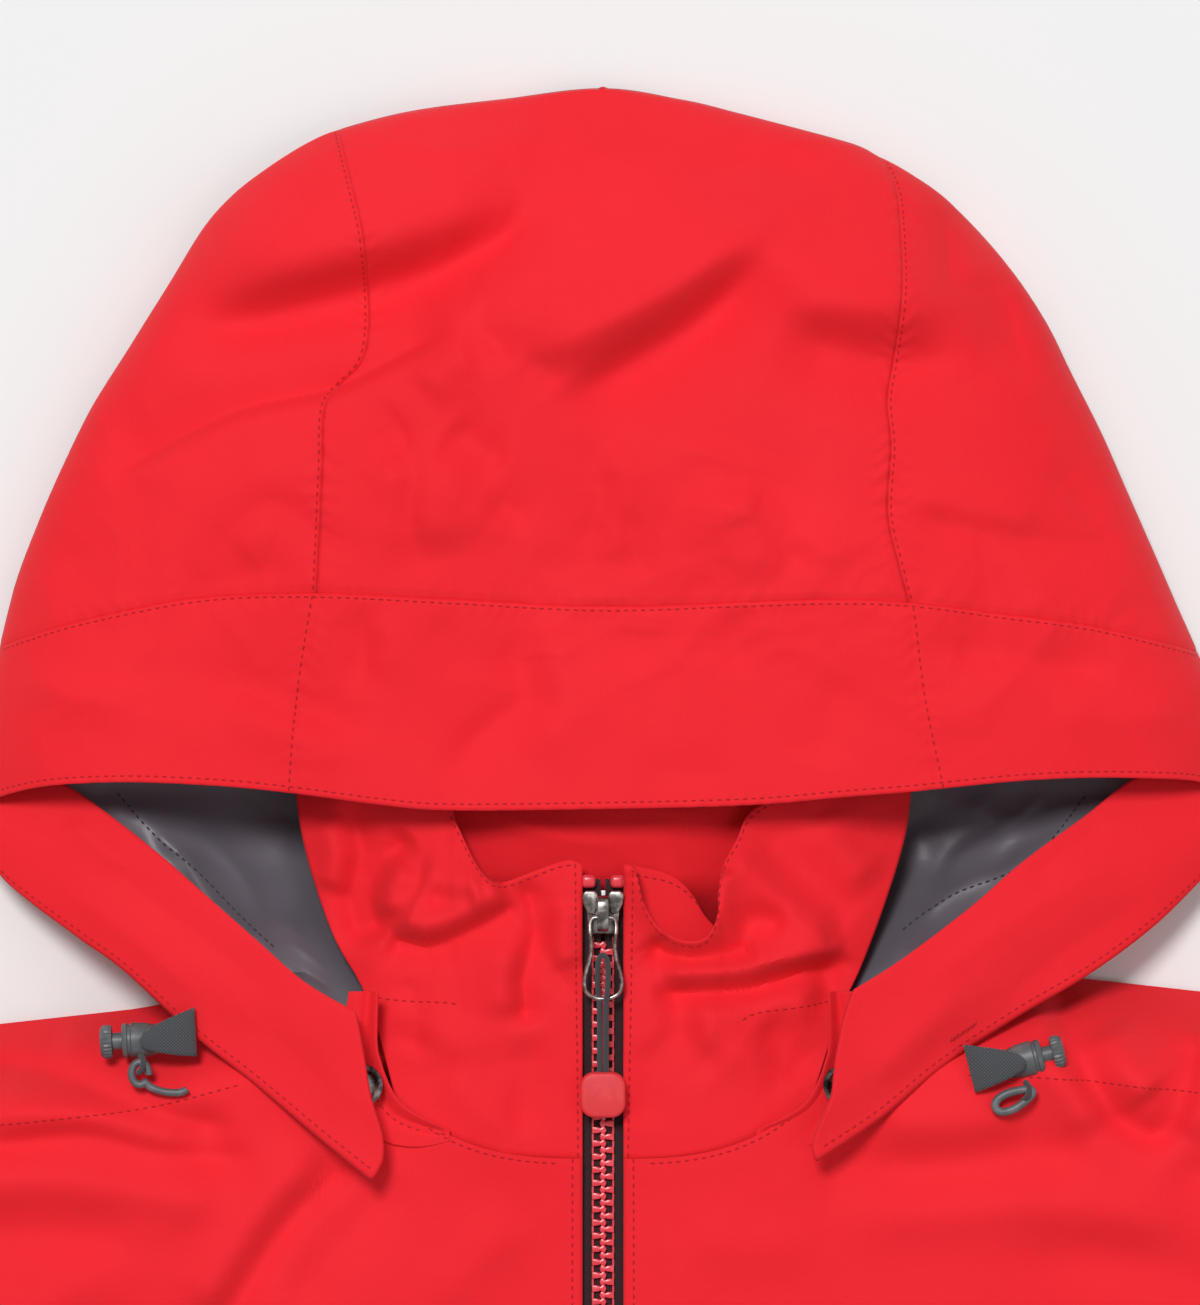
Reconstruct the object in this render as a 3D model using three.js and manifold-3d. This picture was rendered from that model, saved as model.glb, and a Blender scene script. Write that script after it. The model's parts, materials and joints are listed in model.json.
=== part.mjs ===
// A hooded hardshell jacket, zipped up and laid on its back with the hood pulled forward over the collar.
// Millimetres, +Z up. +Y runs from the hem to the hood, +X is the wearer's left.
// The cloth is modelled as closed panels, the trims as solids, all inside the group that is exported.
import * as THREE from "three";
import Module from "manifold-3d";
import { mergeVertices } from "three/addons/utils/BufferGeometryUtils.js";

// ---------------------------------------------------------------- driving dimensions
const CLOTH = 1.6; // shell cloth with its backing
const LINING = 1.0; // lining cloth
const GAP = 0.4; // air left between two pieces that touch

const BODY_LENGTH = 691; // hem to the neck seam at the centre front
const CHEST_HALF = 262; // half the chest width at the armpits
const HEM_HALF = 265;
const SHOULDER_HALF = 222; // centre to the shoulder tip
const SHOULDER_RISE = 34; // shoulder tip above the centre-front neck seam
const ARMPIT_DROP = 190; // armpit below the centre-front neck seam
const NECK_HALF = 78; // centre to the point where the shoulder meets the neck
const NECK_RISE = 50;
const FRONT_HEIGHT = 36; // height of the front cloth above the floor at the neck seam
const FRONT_SLOPE = 0.032; // fall of the front cloth towards the hem
const SIDE_ROLL = 60; // width over which the front cloth rolls down to the side seam
const SHOULDER_ROLL = 45;

const SLEEVE_CUFF_X = 529; // middle of the sleeve's end
const SLEEVE_CUFF_DROP = 538;
const SLEEVE_TURN = (35 * Math.PI) / 180; // the cuff's turn away from the body
const SLEEVE_CAP_X = 440; // the outer edge is drawn towards this corner
const SLEEVE_CAP_DROP = 20;
const CUFF_HALF = 58;
const CUFF_LENGTH = 50;
const CUFF_WALL = 2.2;
const SLEEVE_RISE = 20; // height of the sleeve's arch at the armhole
const CUFF_RISE = 13;
const TAB_LENGTH = 58;
const TAB_WIDTH = 26;

const COLLAR_HEIGHT = 77; // at the centre front
const COLLAR_SIDE_X = 90;
const COLLAR_SIDE_Y = 106;
const COLLAR_SIDE_Z = 15;
const BACK_COLLAR_TOP = 110;

const HOOD_TOP = 289; // crown of the hood above the neck seam
const HOOD_MOUTH = 97; // height of the face opening's edge at the cheeks
const BRIM_DIP = 4; // the brim's edge hangs lower at its middle
const HOOD_HEIGHT = 45; // top cloth of the hood above the floor
const HOOD_BACK_FOOT = 54; // lower edge of the hood's back cloth
const PANEL_SEAM = 78; // centre to the seam between crown and side panels
const BRIM_SEAM = 149; // height of the seam between brim and crown
const BRIM_SEAM_FALL = 11; // how much lower that seam runs at the hood's sides
const SEAM_GAP = 0.8; // air between two panels that meet at a seam
const NECK_GAP = 2.4; // the same along the curved neck seam

const TEETH_HALF = 2.95; // half the width of the closed chain
const TEETH_THICK = 2.5;
const TEETH_SINK = 1.0; // teeth below the top of the front cloth
const ZIP_WINDOW = 5.6; // centre to the cloth edge beside the chain
const TAPE_THICK = 0.7;
const TAPE_HALF = 14;
const SLIDER_TOP = 72; // upper end of the slider, zipped right up
const SLIDER_LENGTH = 11.5;
const SLIDER_HALF = 5.7;
const SLIDER_PLATE = 1.2;
const CROWN_HALF = 1.6; // bridge that holds the puller
const CROWN_RISE = 4.4;
const PULLER_LENGTH = 21;
const PULLER_HALF = 5.6;
const WIRE = 1.4;
const PULL_CORD_LENGTH = 19;
const GRIP = 12.2;
const GRIP_THICK = 4.2;

const SNAP_RADIUS = 5.6;
const SNAP_X = 64.5;
const SNAP_Y = 20;
const STUD_THICK = 1.4;
const SOCKET_THICK = 2.0;

const LOCK_RADIUS = 5; // cord lock housing
const LOCK_LENGTH = 11;
const LOCK_BORE = 3.2;
const LOCK_CLEAR = 0.3; // button stem in its bore
const LOCK_TRAVEL = 2.5;

const POCKET_X = 167;
const POCKET_DROP = 480;
const POCKET_LENGTH = 165;
const POCKET_TURN = 0.21;
const POCKET_WIDTH = 9;
const POCKET_THICK = 1.6;

// ---------------------------------------------------------------- materials
const paint = (color, roughness, metalness = 0) => new THREE.MeshStandardMaterial({ color, roughness, metalness });
const SHELL_RED = paint(0xf02a36, 0.75);
const LINING_GREY = paint(0x55505a, 0.6);
const TAPE_BLACK = paint(0x3a2c30, 0.8);
const TEETH_RED = paint(0xe8404a, 0.35);
const METAL = paint(0x9a9692, 0.3, 1);
const RUBBER_RED = paint(0xe0403f, 0.55);
const TRIM_GREY = paint(0x55545a, 0.5);

// ---------------------------------------------------------------- helpers
const wasm = await Module();
wasm.setup();

const point = (x, y, z) => new THREE.Vector3(x, y, z);
const lerp = THREE.MathUtils.lerp;
const clamp = THREE.MathUtils.clamp;

/** A rounded ramp from 0 at the edge to 1 at width and beyond. */
const roll = (distance, width) => Math.sin((Math.PI / 2) * clamp(distance / width, 0, 1));

function mesh(name, geometry, material) {
  const made = new THREE.Mesh(geometry, material);
  made.name = name;
  return made;
}

/** A closed panel: a segmented box whose top face is carried to place(u, v), with its thickness below. */
function panel(name, material, across, along, thickness, place) {
  const geometry = new THREE.BoxGeometry(1, 1, 1, across, along, 1);
  const position = geometry.attributes.position;
  for (let i = 0; i < position.count; i++) {
    const top = place(position.getX(i) + 0.5, position.getY(i) + 0.5);
    position.setXYZ(i, top.x, top.y, top.z - thickness * (0.5 - position.getZ(i)));
  }
  return mesh(name, geometry, material);
}

/** A straight block from its low corner to its high corner. */
function block(name, material, low, high) {
  const geometry = new THREE.BoxGeometry(high.x - low.x, high.y - low.y, high.z - low.z);
  geometry.translate((low.x + high.x) / 2, (low.y + high.y) / 2, (low.z + high.z) / 2);
  return mesh(name, geometry, material);
}

/** A flat shape given thickness, lying at height z. */
function plate(name, material, shape, z, thickness, curveSegments = 10) {
  const geometry = new THREE.ExtrudeGeometry(shape, { depth: thickness, bevelEnabled: false, curveSegments });
  geometry.translate(0, 0, z);
  return mesh(name, geometry, material);
}

function roundedRectangle(width, height, radius) {
  const w = width / 2;
  const h = height / 2;
  const r = Math.min(radius, w, h) * 0.999;
  const shape = new THREE.Shape();
  shape.moveTo(-w + r, -h);
  shape.lineTo(w - r, -h);
  shape.absarc(w - r, -h + r, r, -Math.PI / 2, 0, false);
  shape.lineTo(w, h - r);
  shape.absarc(w - r, h - r, r, 0, Math.PI / 2, false);
  shape.lineTo(-w + r, h);
  shape.absarc(-w + r, h - r, r, Math.PI / 2, Math.PI, false);
  shape.lineTo(-w, -h + r);
  shape.absarc(-w + r, -h + r, r, Math.PI, 1.5 * Math.PI, false);
  return shape;
}

function asSolid(geometry) {
  const bare = geometry.clone();
  bare.deleteAttribute("normal");
  bare.deleteAttribute("uv");
  const merged = mergeVertices(bare, 1e-4);
  const numbers = new wasm.Mesh({
    numProp: 3,
    vertProperties: merged.attributes.position.array,
    triVerts: new Uint32Array(merged.index.array),
  });
  return new wasm.Manifold(numbers);
}

function fromSolid(solid) {
  const { vertProperties, triVerts } = solid.getMesh();
  return new THREE.BufferGeometry()
    .setAttribute("position", new THREE.BufferAttribute(vertProperties, 3))
    .setIndex(new THREE.BufferAttribute(triVerts, 1));
}

/** A turned part whose axis lies along X, from its profile of [distance along X, radius]. */
function turned(name, material, profile, segments = 16) {
  const points = profile.map(([along, radius]) => new THREE.Vector2(radius, along));
  const geometry = new THREE.LatheGeometry(points, segments);
  geometry.rotateZ(-Math.PI / 2);
  return mesh(name, geometry, material);
}

// ---------------------------------------------------------------- the cloth's shape
const EDGE = 2 * CLOTH + GAP; // top of the front cloth where it lies on the back cloth

const frontPlane = (y) => FRONT_HEIGHT + FRONT_SLOPE * y;

/** Half the body's width at a height y: side seam, then armhole. */
function bodyHalf(y) {
  if (y < -ARMPIT_DROP) return lerp(HEM_HALF, CHEST_HALF, (y + BODY_LENGTH) / (BODY_LENGTH - ARMPIT_DROP));
  const up = clamp((y + ARMPIT_DROP) / (ARMPIT_DROP + SHOULDER_RISE), 0, 1);
  return lerp(CHEST_HALF, SHOULDER_HALF, up);
}

/** The shoulder line's y at a distance x from the centre. */
function shoulderLine(x) {
  const out = (x - NECK_HALF) / (SHOULDER_HALF - NECK_HALF);
  return out < 0 ? NECK_RISE : lerp(NECK_RISE, SHOULDER_RISE, out);
}

/** The neck seam's y at a distance x from the centre, on the front. */
const neckSeam = (x) => NECK_RISE * Math.pow(clamp(x / NECK_HALF, 0, 1), 3.2);

/** Top of the armhole's edge above the floor, from armpit (0) to shoulder tip (1). */
const armholeTop = (s) => EDGE + SLEEVE_RISE * Math.pow(Math.sin(Math.PI * clamp(s, 0, 1)), 0.8);

function frontTop(x, y) {
  const edge = y < -ARMPIT_DROP ? EDGE : armholeTop((y + ARMPIT_DROP) / (ARMPIT_DROP + SHOULDER_RISE));
  const side = roll(bodyHalf(y) - x, SIDE_ROLL);
  const shoulder = x < NECK_HALF - 30 ? 1 : roll(shoulderLine(x) - y + Math.max(0, NECK_HALF - x), SHOULDER_ROLL);
  return lerp(lerp(edge, frontPlane(y), side), EDGE, 1 - shoulder);
}

function bodyPanels() {
  const back = panel("back_panel", SHELL_RED, 12, 14, CLOTH, (u, v) => {
    const a = 2 * u - 1;
    const y = lerp(-BODY_LENGTH, shoulderLine(Math.abs(a) * SHOULDER_HALF), v);
    return point(a * bodyHalf(y), y, CLOTH);
  });
  return [back];
}

function frontPanel() {
  return panel("front_panel", SHELL_RED, 12, 16, CLOTH, (u, v) => {
    const reach = lerp(ZIP_WINDOW, SHOULDER_HALF, u);
    const top = reach < NECK_HALF ? neckSeam(reach) : shoulderLine(reach);
    const y = lerp(-BODY_LENGTH, top, v);
    const x = lerp(ZIP_WINDOW, bodyHalf(y), u);
    return point(x, y, frontTop(x, y));
  });
}

// ---------------------------------------------------------------- sleeve
const CUFF_OUT = point(Math.cos(SLEEVE_TURN), Math.sin(SLEEVE_TURN), 0);
const CUFF_CENTRE = point(SLEEVE_CUFF_X, -SLEEVE_CUFF_DROP, 0);

const CUFF_INNER = CUFF_CENTRE.clone().addScaledVector(CUFF_OUT, -CUFF_HALF);
const CUFF_OUTER = CUFF_CENTRE.clone().addScaledVector(CUFF_OUT, CUFF_HALF);
const UNDERARM = new THREE.LineCurve3(CUFF_INNER, point(CHEST_HALF + SEAM_GAP, -ARMPIT_DROP, 0));
const OUTER_EDGE = new THREE.QuadraticBezierCurve3(
  CUFF_OUTER,
  point(SLEEVE_CAP_X, -SLEEVE_CAP_DROP, 0),
  point(SHOULDER_HALF + SEAM_GAP, SHOULDER_RISE, 0),
);

/** A place on the sleeve: u from the underarm to the outer edge, v from the cuff to the armhole. */
const sleevePlace = (u, v) => UNDERARM.getPoint(v).lerp(OUTER_EDGE.getPoint(v), u);

function sleeveSide() {
  const top = panel("sleeve_top", SHELL_RED, 10, 14, CLOTH, (u, v) => {
    const place = sleevePlace(u, v);
    place.z = EDGE + lerp(CUFF_RISE, SLEEVE_RISE, v) * Math.pow(Math.sin(Math.PI * clamp(u, 0, 1)), 0.8);
    return place;
  });
  const under = panel("sleeve_under", SHELL_RED, 4, 14, CLOTH, (u, v) => {
    const place = sleevePlace(u, v);
    place.z = CLOTH;
    return place;
  });

  const cuffHeight = EDGE + CUFF_RISE;
  const ring = roundedRectangle(2 * CUFF_HALF, cuffHeight, cuffHeight / 2);
  ring.holes.push(
    roundedRectangle(2 * (CUFF_HALF - CUFF_WALL), cuffHeight - 2 * CUFF_WALL, cuffHeight / 2 - CUFF_WALL),
  );
  const ringGeometry = new THREE.ExtrudeGeometry(ring, { depth: CUFF_LENGTH, bevelEnabled: false, curveSegments: 6 });
  ringGeometry.rotateX(Math.PI / 2);
  ringGeometry.translate(0, -SEAM_GAP, cuffHeight / 2);
  const cuff = mesh("cuff", ringGeometry, SHELL_RED);

  const tabShape = roundedRectangle(TAB_LENGTH, TAB_WIDTH, 6);
  const tab = plate("cuff_tab", SHELL_RED, tabShape, cuffHeight + GAP, CLOTH, 4);
  tab.geometry.translate(0, -SEAM_GAP - CUFF_LENGTH / 2, 0);

  const turn = new THREE.Group();
  turn.position.copy(CUFF_CENTRE);
  turn.rotation.z = SLEEVE_TURN;
  turn.add(cuff, tab);
  return [top, under, turn];
}

// ---------------------------------------------------------------- collar
function collarFront() {
  return panel("collar_front", SHELL_RED, 10, 6, CLOTH, (u, v) => {
    const footX = lerp(ZIP_WINDOW, NECK_HALF, u);
    const foot = point(footX, neckSeam(footX) + NECK_GAP, 0);
    const head = point(lerp(ZIP_WINDOW, COLLAR_SIDE_X, u), lerp(COLLAR_HEIGHT, COLLAR_SIDE_Y, Math.pow(u, 1.5)), 0);
    const place = foot.lerp(head, v);
    place.z = lerp(frontPlane(place.y), COLLAR_SIDE_Z, Math.pow(u, 3));
    return place;
  });
}

const backCollarTop = (y) => lerp(CLOTH + GAP + CLOTH, 13, (y - NECK_RISE) / (BACK_COLLAR_TOP - NECK_RISE));

function collarBack() {
  const collar = panel("collar_back", SHELL_RED, 10, 4, CLOTH, (u, v) => {
    const a = 2 * u - 1;
    const y = lerp(NECK_RISE + GAP, BACK_COLLAR_TOP, v);
    const half = lerp(NECK_HALF, COLLAR_SIDE_X, v) - SEAM_GAP;
    return point(a * half, y, backCollarTop(y) + LINING);
  });

  const LOOP_HALF = 20;
  const LOOP_INSIDE = 5.2;
  const LOOP_CLOTH = 1.2;
  const LOOP_WIDTH = 7;
  const strip = new THREE.Shape();
  strip.moveTo(-LOOP_HALF, 0);
  strip.lineTo(-LOOP_HALF, LOOP_INSIDE + LOOP_CLOTH);
  strip.lineTo(LOOP_HALF, LOOP_INSIDE + LOOP_CLOTH);
  strip.lineTo(LOOP_HALF, 0);
  strip.lineTo(LOOP_HALF - LOOP_CLOTH, 0);
  strip.lineTo(LOOP_HALF - LOOP_CLOTH, LOOP_INSIDE);
  strip.lineTo(-LOOP_HALF + LOOP_CLOTH, LOOP_INSIDE);
  strip.lineTo(-LOOP_HALF + LOOP_CLOTH, 0);
  const loopGeometry = new THREE.ExtrudeGeometry(strip, { depth: LOOP_WIDTH, bevelEnabled: false });
  loopGeometry.rotateX(Math.PI / 2);
  const loopY = NECK_RISE + 22;
  loopGeometry.translate(0, loopY, backCollarTop(loopY) + LINING + GAP);
  return [collar, mesh("hanger_loop", loopGeometry, TRIM_GREY)];
}

/** Narrow flap along the neck seam that carries the snap's stud. */
function neckFlap() {
  const flapLength = 34;
  const flapWidth = 10;
  const flap = plate("neck_flap", SHELL_RED, roundedRectangle(flapLength, flapWidth, 3), 0, 0.8, 3);
  flap.rotation.z = Math.PI / 4;
  flap.position.set(SNAP_X - 5, SNAP_Y - 3, frontPlane(SNAP_Y) + 1.2);
  return flap;
}

// ---------------------------------------------------------------- hood
// Half the hood's outline, from the cheek round to the crown.
const hoodOutline = new THREE.SplineCurve(
  [
    [165, HOOD_MOUTH],
    [160, 0.24],
    [147, 0.43],
    [131, 0.59],
    [112, 0.76],
    [97, 0.85],
    [74, 0.925],
    [44, 0.97],
    [0, 1],
  ].map(([x, share], i) => new THREE.Vector2(x, i ? lerp(HOOD_MOUTH, HOOD_TOP, share) : share)),
);
const hoodRim = hoodOutline.getPoints(80);

/** Half the hood's width at a height y. */
function hoodHalf(y) {
  if (y <= hoodRim[0].y) return hoodRim[0].x;
  const above = hoodRim.findIndex((p) => p.y > y);
  if (above < 1) return 0;
  const [a, b] = [hoodRim[above - 1], hoodRim[above]];
  return lerp(a.x, b.x, (y - a.y) / (b.y - a.y));
}

/** The hood's upper edge at a distance x from the centre. */
function hoodCrown(x) {
  const near = hoodRim.findIndex((p) => p.x <= x && p.y > HOOD_MOUTH);
  const [a, b] = [hoodRim[near - 1], hoodRim[near]];
  return lerp(a.y, b.y, (a.x - x) / (a.x - b.x));
}

/** Top of the hood's upper cloth. */
function hoodTop(x, y) {
  const half = Math.max(hoodHalf(y), 1);
  const across = Math.sqrt(Math.max(0, 1 - Math.pow(Math.abs(x) / half, 3)));
  const along = roll(HOOD_TOP - y + 4, 90);
  return EDGE + (HOOD_HEIGHT - EDGE) * across * along;
}

const brimEdge = (x) => HOOD_MOUTH - BRIM_DIP * (1 - Math.pow(clamp(Math.abs(x) / 110, 0, 1), 2));
const brimSeam = (x) => BRIM_SEAM - BRIM_SEAM_FALL * Math.pow(clamp((Math.abs(x) - PANEL_SEAM) / 82, 0, 1), 1.5);

function hoodShared() {
  const brim = panel("hood_brim", SHELL_RED, 24, 5, CLOTH, (u, v) => {
    const a = 2 * u - 1;
    const reach = a * (hoodHalf(HOOD_MOUTH) - 0.5);
    const y = lerp(brimEdge(reach), brimSeam(reach), v);
    const x = a * (hoodHalf(y) - 0.5);
    return point(x, y, hoodTop(x, y));
  });
  const crownTop = HOOD_TOP - 2;
  const crown = panel("hood_crown", SHELL_RED, 12, 12, CLOTH, (u, v) => {
    const a = 2 * u - 1;
    const seam = lerp(PANEL_SEAM, 66, v) - SEAM_GAP;
    const x = a * seam;
    const y = lerp(BRIM_SEAM + SEAM_GAP, Math.min(hoodCrown(Math.abs(x)) - 1, crownTop), v);
    return point(x, y, hoodTop(x, y));
  });
  const backHalf = (y) => (y < HOOD_MOUTH ? lerp(100, 162, (y - HOOD_BACK_FOOT) / (HOOD_MOUTH - HOOD_BACK_FOOT)) : hoodHalf(y) - 3);
  const back = panel("hood_back", SHELL_RED, 12, 14, CLOTH, (u, v) => {
    const a = 2 * u - 1;
    const y = lerp(HOOD_BACK_FOOT, hoodCrown(Math.abs(a) * 40) - 3, v);
    return point(a * Math.max(backHalf(y), 20), y, CLOTH);
  });
  const liningInset = 12;
  const lining = panel("hood_lining", LINING_GREY, 12, 12, LINING, (u, v) => {
    const a = 2 * u - 1;
    const y = lerp(HOOD_BACK_FOOT + 6, HOOD_TOP - 30, v);
    return point(a * (backHalf(y) - liningInset), y, CLOTH + GAP / 2 + LINING);
  });
  return [brim, crown, back, lining];
}

function hoodSide() {
  const topY = hoodCrown(PANEL_SEAM - 4) - 1;
  return panel("hood_side", SHELL_RED, 10, 14, CLOTH, (u, v) => {
    const reach = lerp(PANEL_SEAM, hoodHalf(BRIM_SEAM), u);
    const y = lerp(brimSeam(reach) + SEAM_GAP, topY, v);
    const seam = lerp(PANEL_SEAM, 67, clamp((y - BRIM_SEAM) / (topY - BRIM_SEAM), 0, 1));
    const x = lerp(seam + SEAM_GAP, hoodHalf(y) - 0.5, u);
    return point(x, y, hoodTop(x, y));
  });
}

// Corners of the chin band: the lower edge runs from the cheek to the tip.
const CHEEK_LOW = point(162, 74, 0);
const CHEEK_HIGH = point(148, HOOD_MOUTH - 2, 0);
const CHIN_TIP = point(61, -4.5, 0);
const CHIN_HIGH = point(66, 40, 0);
const CHIN_LIFT = 38; // rise of the band from the cheek to the tip
const CHEEK_TOP = 10;

const chinTop = (u) => CHEEK_TOP + CHIN_LIFT * Math.pow(u, 0.8);

function chinBand() {
  return panel("hood_chin", SHELL_RED, 10, 4, CLOTH, (u, v) => {
    const low = CHEEK_LOW.clone().lerp(CHIN_TIP, u);
    const high = CHEEK_HIGH.clone().lerp(CHIN_HIGH, u);
    // The band is laid out with u towards the centre, so v runs from the upper edge to the lower one.
    const place = high.lerp(low, v);
    place.z = chinTop(u);
    return place;
  });
}

function snap() {
  const stud = turned("snap_stud", METAL, [[0, 0], [0, SNAP_RADIUS], [STUD_THICK, SNAP_RADIUS], [STUD_THICK, 0]], 20);
  const studFoot = frontPlane(SNAP_Y) + 1.2 + 0.8 + GAP;
  stud.rotation.y = -Math.PI / 2;
  stud.position.set(SNAP_X, SNAP_Y, studFoot);
  const socket = turned("snap_socket", METAL, [[0, 0], [0, SNAP_RADIUS], [SOCKET_THICK, SNAP_RADIUS], [SOCKET_THICK, 0]], 20);
  socket.rotation.y = -Math.PI / 2;
  socket.position.set(SNAP_X, SNAP_Y, studFoot + STUD_THICK + GAP);
  return [stud, socket];
}

// ---------------------------------------------------------------- cord locks
/** A barrel cord lock with its axis along X: a bored housing and a button whose stem slides in it. */
function cordLock(prefix) {
  const wall = 3;
  const bore = LOCK_LENGTH - wall;
  const housing = turned(
    prefix + "_housing",
    TRIM_GREY,
    [[0, 0], [0, LOCK_RADIUS], [LOCK_LENGTH, LOCK_RADIUS], [LOCK_LENGTH, LOCK_BORE], [wall, LOCK_BORE], [wall, 0]],
  );
  const stem = LOCK_BORE - LOCK_CLEAR;
  const capStart = LOCK_LENGTH + LOCK_TRAVEL + GAP;
  const stemStart = LOCK_LENGTH - bore + LOCK_TRAVEL + GAP;
  const button = turned(
    prefix + "_button",
    TRIM_GREY,
    [[stemStart, 0], [stemStart, stem], [capStart, stem], [capStart, LOCK_RADIUS - 0.6], [capStart + 3, LOCK_RADIUS - 0.6], [capStart + 3, 0]],
  );
  return [housing, button];
}

/** The hood's cord lock lies further in, and lower down the chest, on the left. */
function hoodAdjuster(side) {
  const LOCK_X = side === "left" ? 107 : 118;
  const LOCK_Y = side === "left" ? 25 : 32;
  const LOCK_Z = side === "left" ? 36 : 32.5;
  const lock = new THREE.Group();
  lock.add(...cordLock("hood_lock"));
  lock.position.set(LOCK_X, LOCK_Y, LOCK_Z);

  const strapLength = 12;
  const strap = block(
    "lock_strap",
    TRIM_GREY,
    point(LOCK_X - 5, LOCK_Y - 6.5, LOCK_Z + LOCK_RADIUS + GAP),
    point(LOCK_X - 5 + strapLength, LOCK_Y + 5.5, LOCK_Z + LOCK_RADIUS + GAP + 1.2),
  );

  const eye = 3.6;
  const hole = 1.7;
  const toggleShape = new THREE.Shape();
  toggleShape.absarc(0, 0, eye, -0.35, Math.PI * 2 - 1.0, false);
  toggleShape.lineTo(12.5, -5.6);
  toggleShape.lineTo(13, -3.2);
  const eyeHole = new THREE.Path();
  eyeHole.absarc(0, 0, hole, 0, Math.PI * 2, true);
  toggleShape.holes.push(eyeHole);
  const toggle = plate("cord_toggle", TRIM_GREY, toggleShape, 0, 2, 10);
  toggle.scale.x = -1;
  toggle.position.set(LOCK_X + 6, LOCK_Y - LOCK_RADIUS - GAP - eye, LOCK_Z + 2.8);
  return [lock, strap, toggle];
}

// ---------------------------------------------------------------- pieces on the front plane
// Local frame: the front cloth's top surface is z = 0 and the neck seam is y = 0.
const TEETH_TOP = -TEETH_SINK;
const TEETH_FOOT = TEETH_TOP - TEETH_THICK;
const CHAIN_FOOT = -BODY_LENGTH + 14;
const CHAIN_HEAD = COLLAR_HEIGHT - 4;

function zipHalf() {
  const teeth = block(
    "zip_teeth",
    TEETH_RED,
    point(0.2, CHAIN_FOOT, TEETH_FOOT),
    point(TEETH_HALF, SLIDER_TOP + 0.2, TEETH_TOP),
  );
  const stop = block(
    "zip_top_stop",
    TEETH_RED,
    point(1.6, SLIDER_TOP + 0.6, TEETH_FOOT),
    point(TEETH_HALF + 1.6, SLIDER_TOP + 3.4, TEETH_TOP + 0.6),
  );
  const tapeTop = -CLOTH - GAP;
  const tape = block(
    "zip_tape",
    TAPE_BLACK,
    point(TEETH_HALF + 0.3, -BODY_LENGTH, tapeTop - TAPE_THICK),
    point(TAPE_HALF, SLIDER_TOP, tapeTop),
  );
  return [teeth, stop, tape];
}

const PLATE_FOOT = GAP;
const PLATE_TOP = PLATE_FOOT + SLIDER_PLATE;
const HINGE_Y = SLIDER_TOP - 7.5;
const HINGE_Z = PLATE_TOP + 2.0;

function zipSlider() {
  const foot = SLIDER_TOP - SLIDER_LENGTH;
  const outline = new THREE.Shape();
  outline.moveTo(-SLIDER_HALF + 1.6, foot);
  outline.lineTo(SLIDER_HALF - 1.6, foot);
  outline.lineTo(SLIDER_HALF, SLIDER_TOP - 3.5);
  outline.lineTo(SLIDER_HALF - 0.8, SLIDER_TOP);
  outline.lineTo(-SLIDER_HALF + 0.8, SLIDER_TOP);
  outline.lineTo(-SLIDER_HALF, SLIDER_TOP - 3.5);
  const top = asSolid(plate("top", METAL, outline, PLATE_FOOT, SLIDER_PLATE).geometry);
  const neckHalf = TEETH_HALF + 1.2;
  const neck = asSolid(
    block("neck", METAL, point(-neckHalf, foot, TEETH_TOP + 0.3), point(neckHalf, SLIDER_TOP - 1, PLATE_FOOT + 0.1)).geometry,
  );
  const flange = (side) =>
    asSolid(
      block(
        "flange",
        METAL,
        point(side > 0 ? TEETH_HALF + 0.3 : -neckHalf, foot, -CLOTH),
        point(side > 0 ? neckHalf : -TEETH_HALF - 0.3, SLIDER_TOP - 1, TEETH_TOP + 0.4),
      ).geometry,
    );
  // The bridge is an arch seen from the side, and the puller's bar lies in its eye.
  const arch = new THREE.Shape();
  arch.moveTo(0, 0);
  arch.lineTo(11, 0);
  arch.lineTo(11, 2.2);
  arch.quadraticCurveTo(11, CROWN_RISE, 8, CROWN_RISE);
  arch.lineTo(3, CROWN_RISE);
  arch.quadraticCurveTo(0, CROWN_RISE, 0, 2.2);
  const eye = new THREE.Path();
  eye.absellipse(5.2, HINGE_Z - PLATE_TOP, 3.0, 1.15, 0, Math.PI * 2, true);
  arch.holes.push(eye);
  const archGeometry = new THREE.ExtrudeGeometry(arch, { depth: 2 * CROWN_HALF, bevelEnabled: false, curveSegments: 8 });
  archGeometry.rotateY(Math.PI / 2);
  archGeometry.rotateX(Math.PI / 2);
  archGeometry.translate(-CROWN_HALF, SLIDER_TOP - 2.3, PLATE_TOP - 0.05);
  const bridge = asSolid(archGeometry);
  const body = top.add(neck).add(flange(1)).add(flange(-1)).add(bridge);
  const backPlate = block(
    "slider_back_plate",
    METAL,
    point(-SLIDER_HALF + 1.2, foot, TEETH_FOOT - GAP - SLIDER_PLATE),
    point(SLIDER_HALF - 1.2, SLIDER_TOP, TEETH_FOOT - GAP),
  );
  return [mesh("slider_body", fromSolid(body), METAL), backPlate];
}

function zipPuller() {
  // A wire loop, narrow at the bar and wide at the foot, drawn from the hinge downwards.
  const loop = (inset) => {
    const bar = 3.4 - inset;
    const wide = PULLER_HALF - inset;
    const head = WIRE / 2 - inset;
    const foot = -PULLER_LENGTH + inset;
    const shape = new THREE.Shape();
    shape.moveTo(-bar, head);
    shape.bezierCurveTo(-bar, -8, -wide, -10, -wide, foot + wide);
    shape.absarc(0, foot + wide, wide, Math.PI, 2 * Math.PI, false);
    shape.bezierCurveTo(wide, -10, bar, -8, bar, head);
    return shape;
  };
  const shape = loop(0);
  shape.holes.push(loop(WIRE));
  const puller = plate("zip_puller", METAL, shape, -WIRE / 2, WIRE, 10);
  puller.position.set(0, HINGE_Y, HINGE_Z);
  return puller;
}

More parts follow.
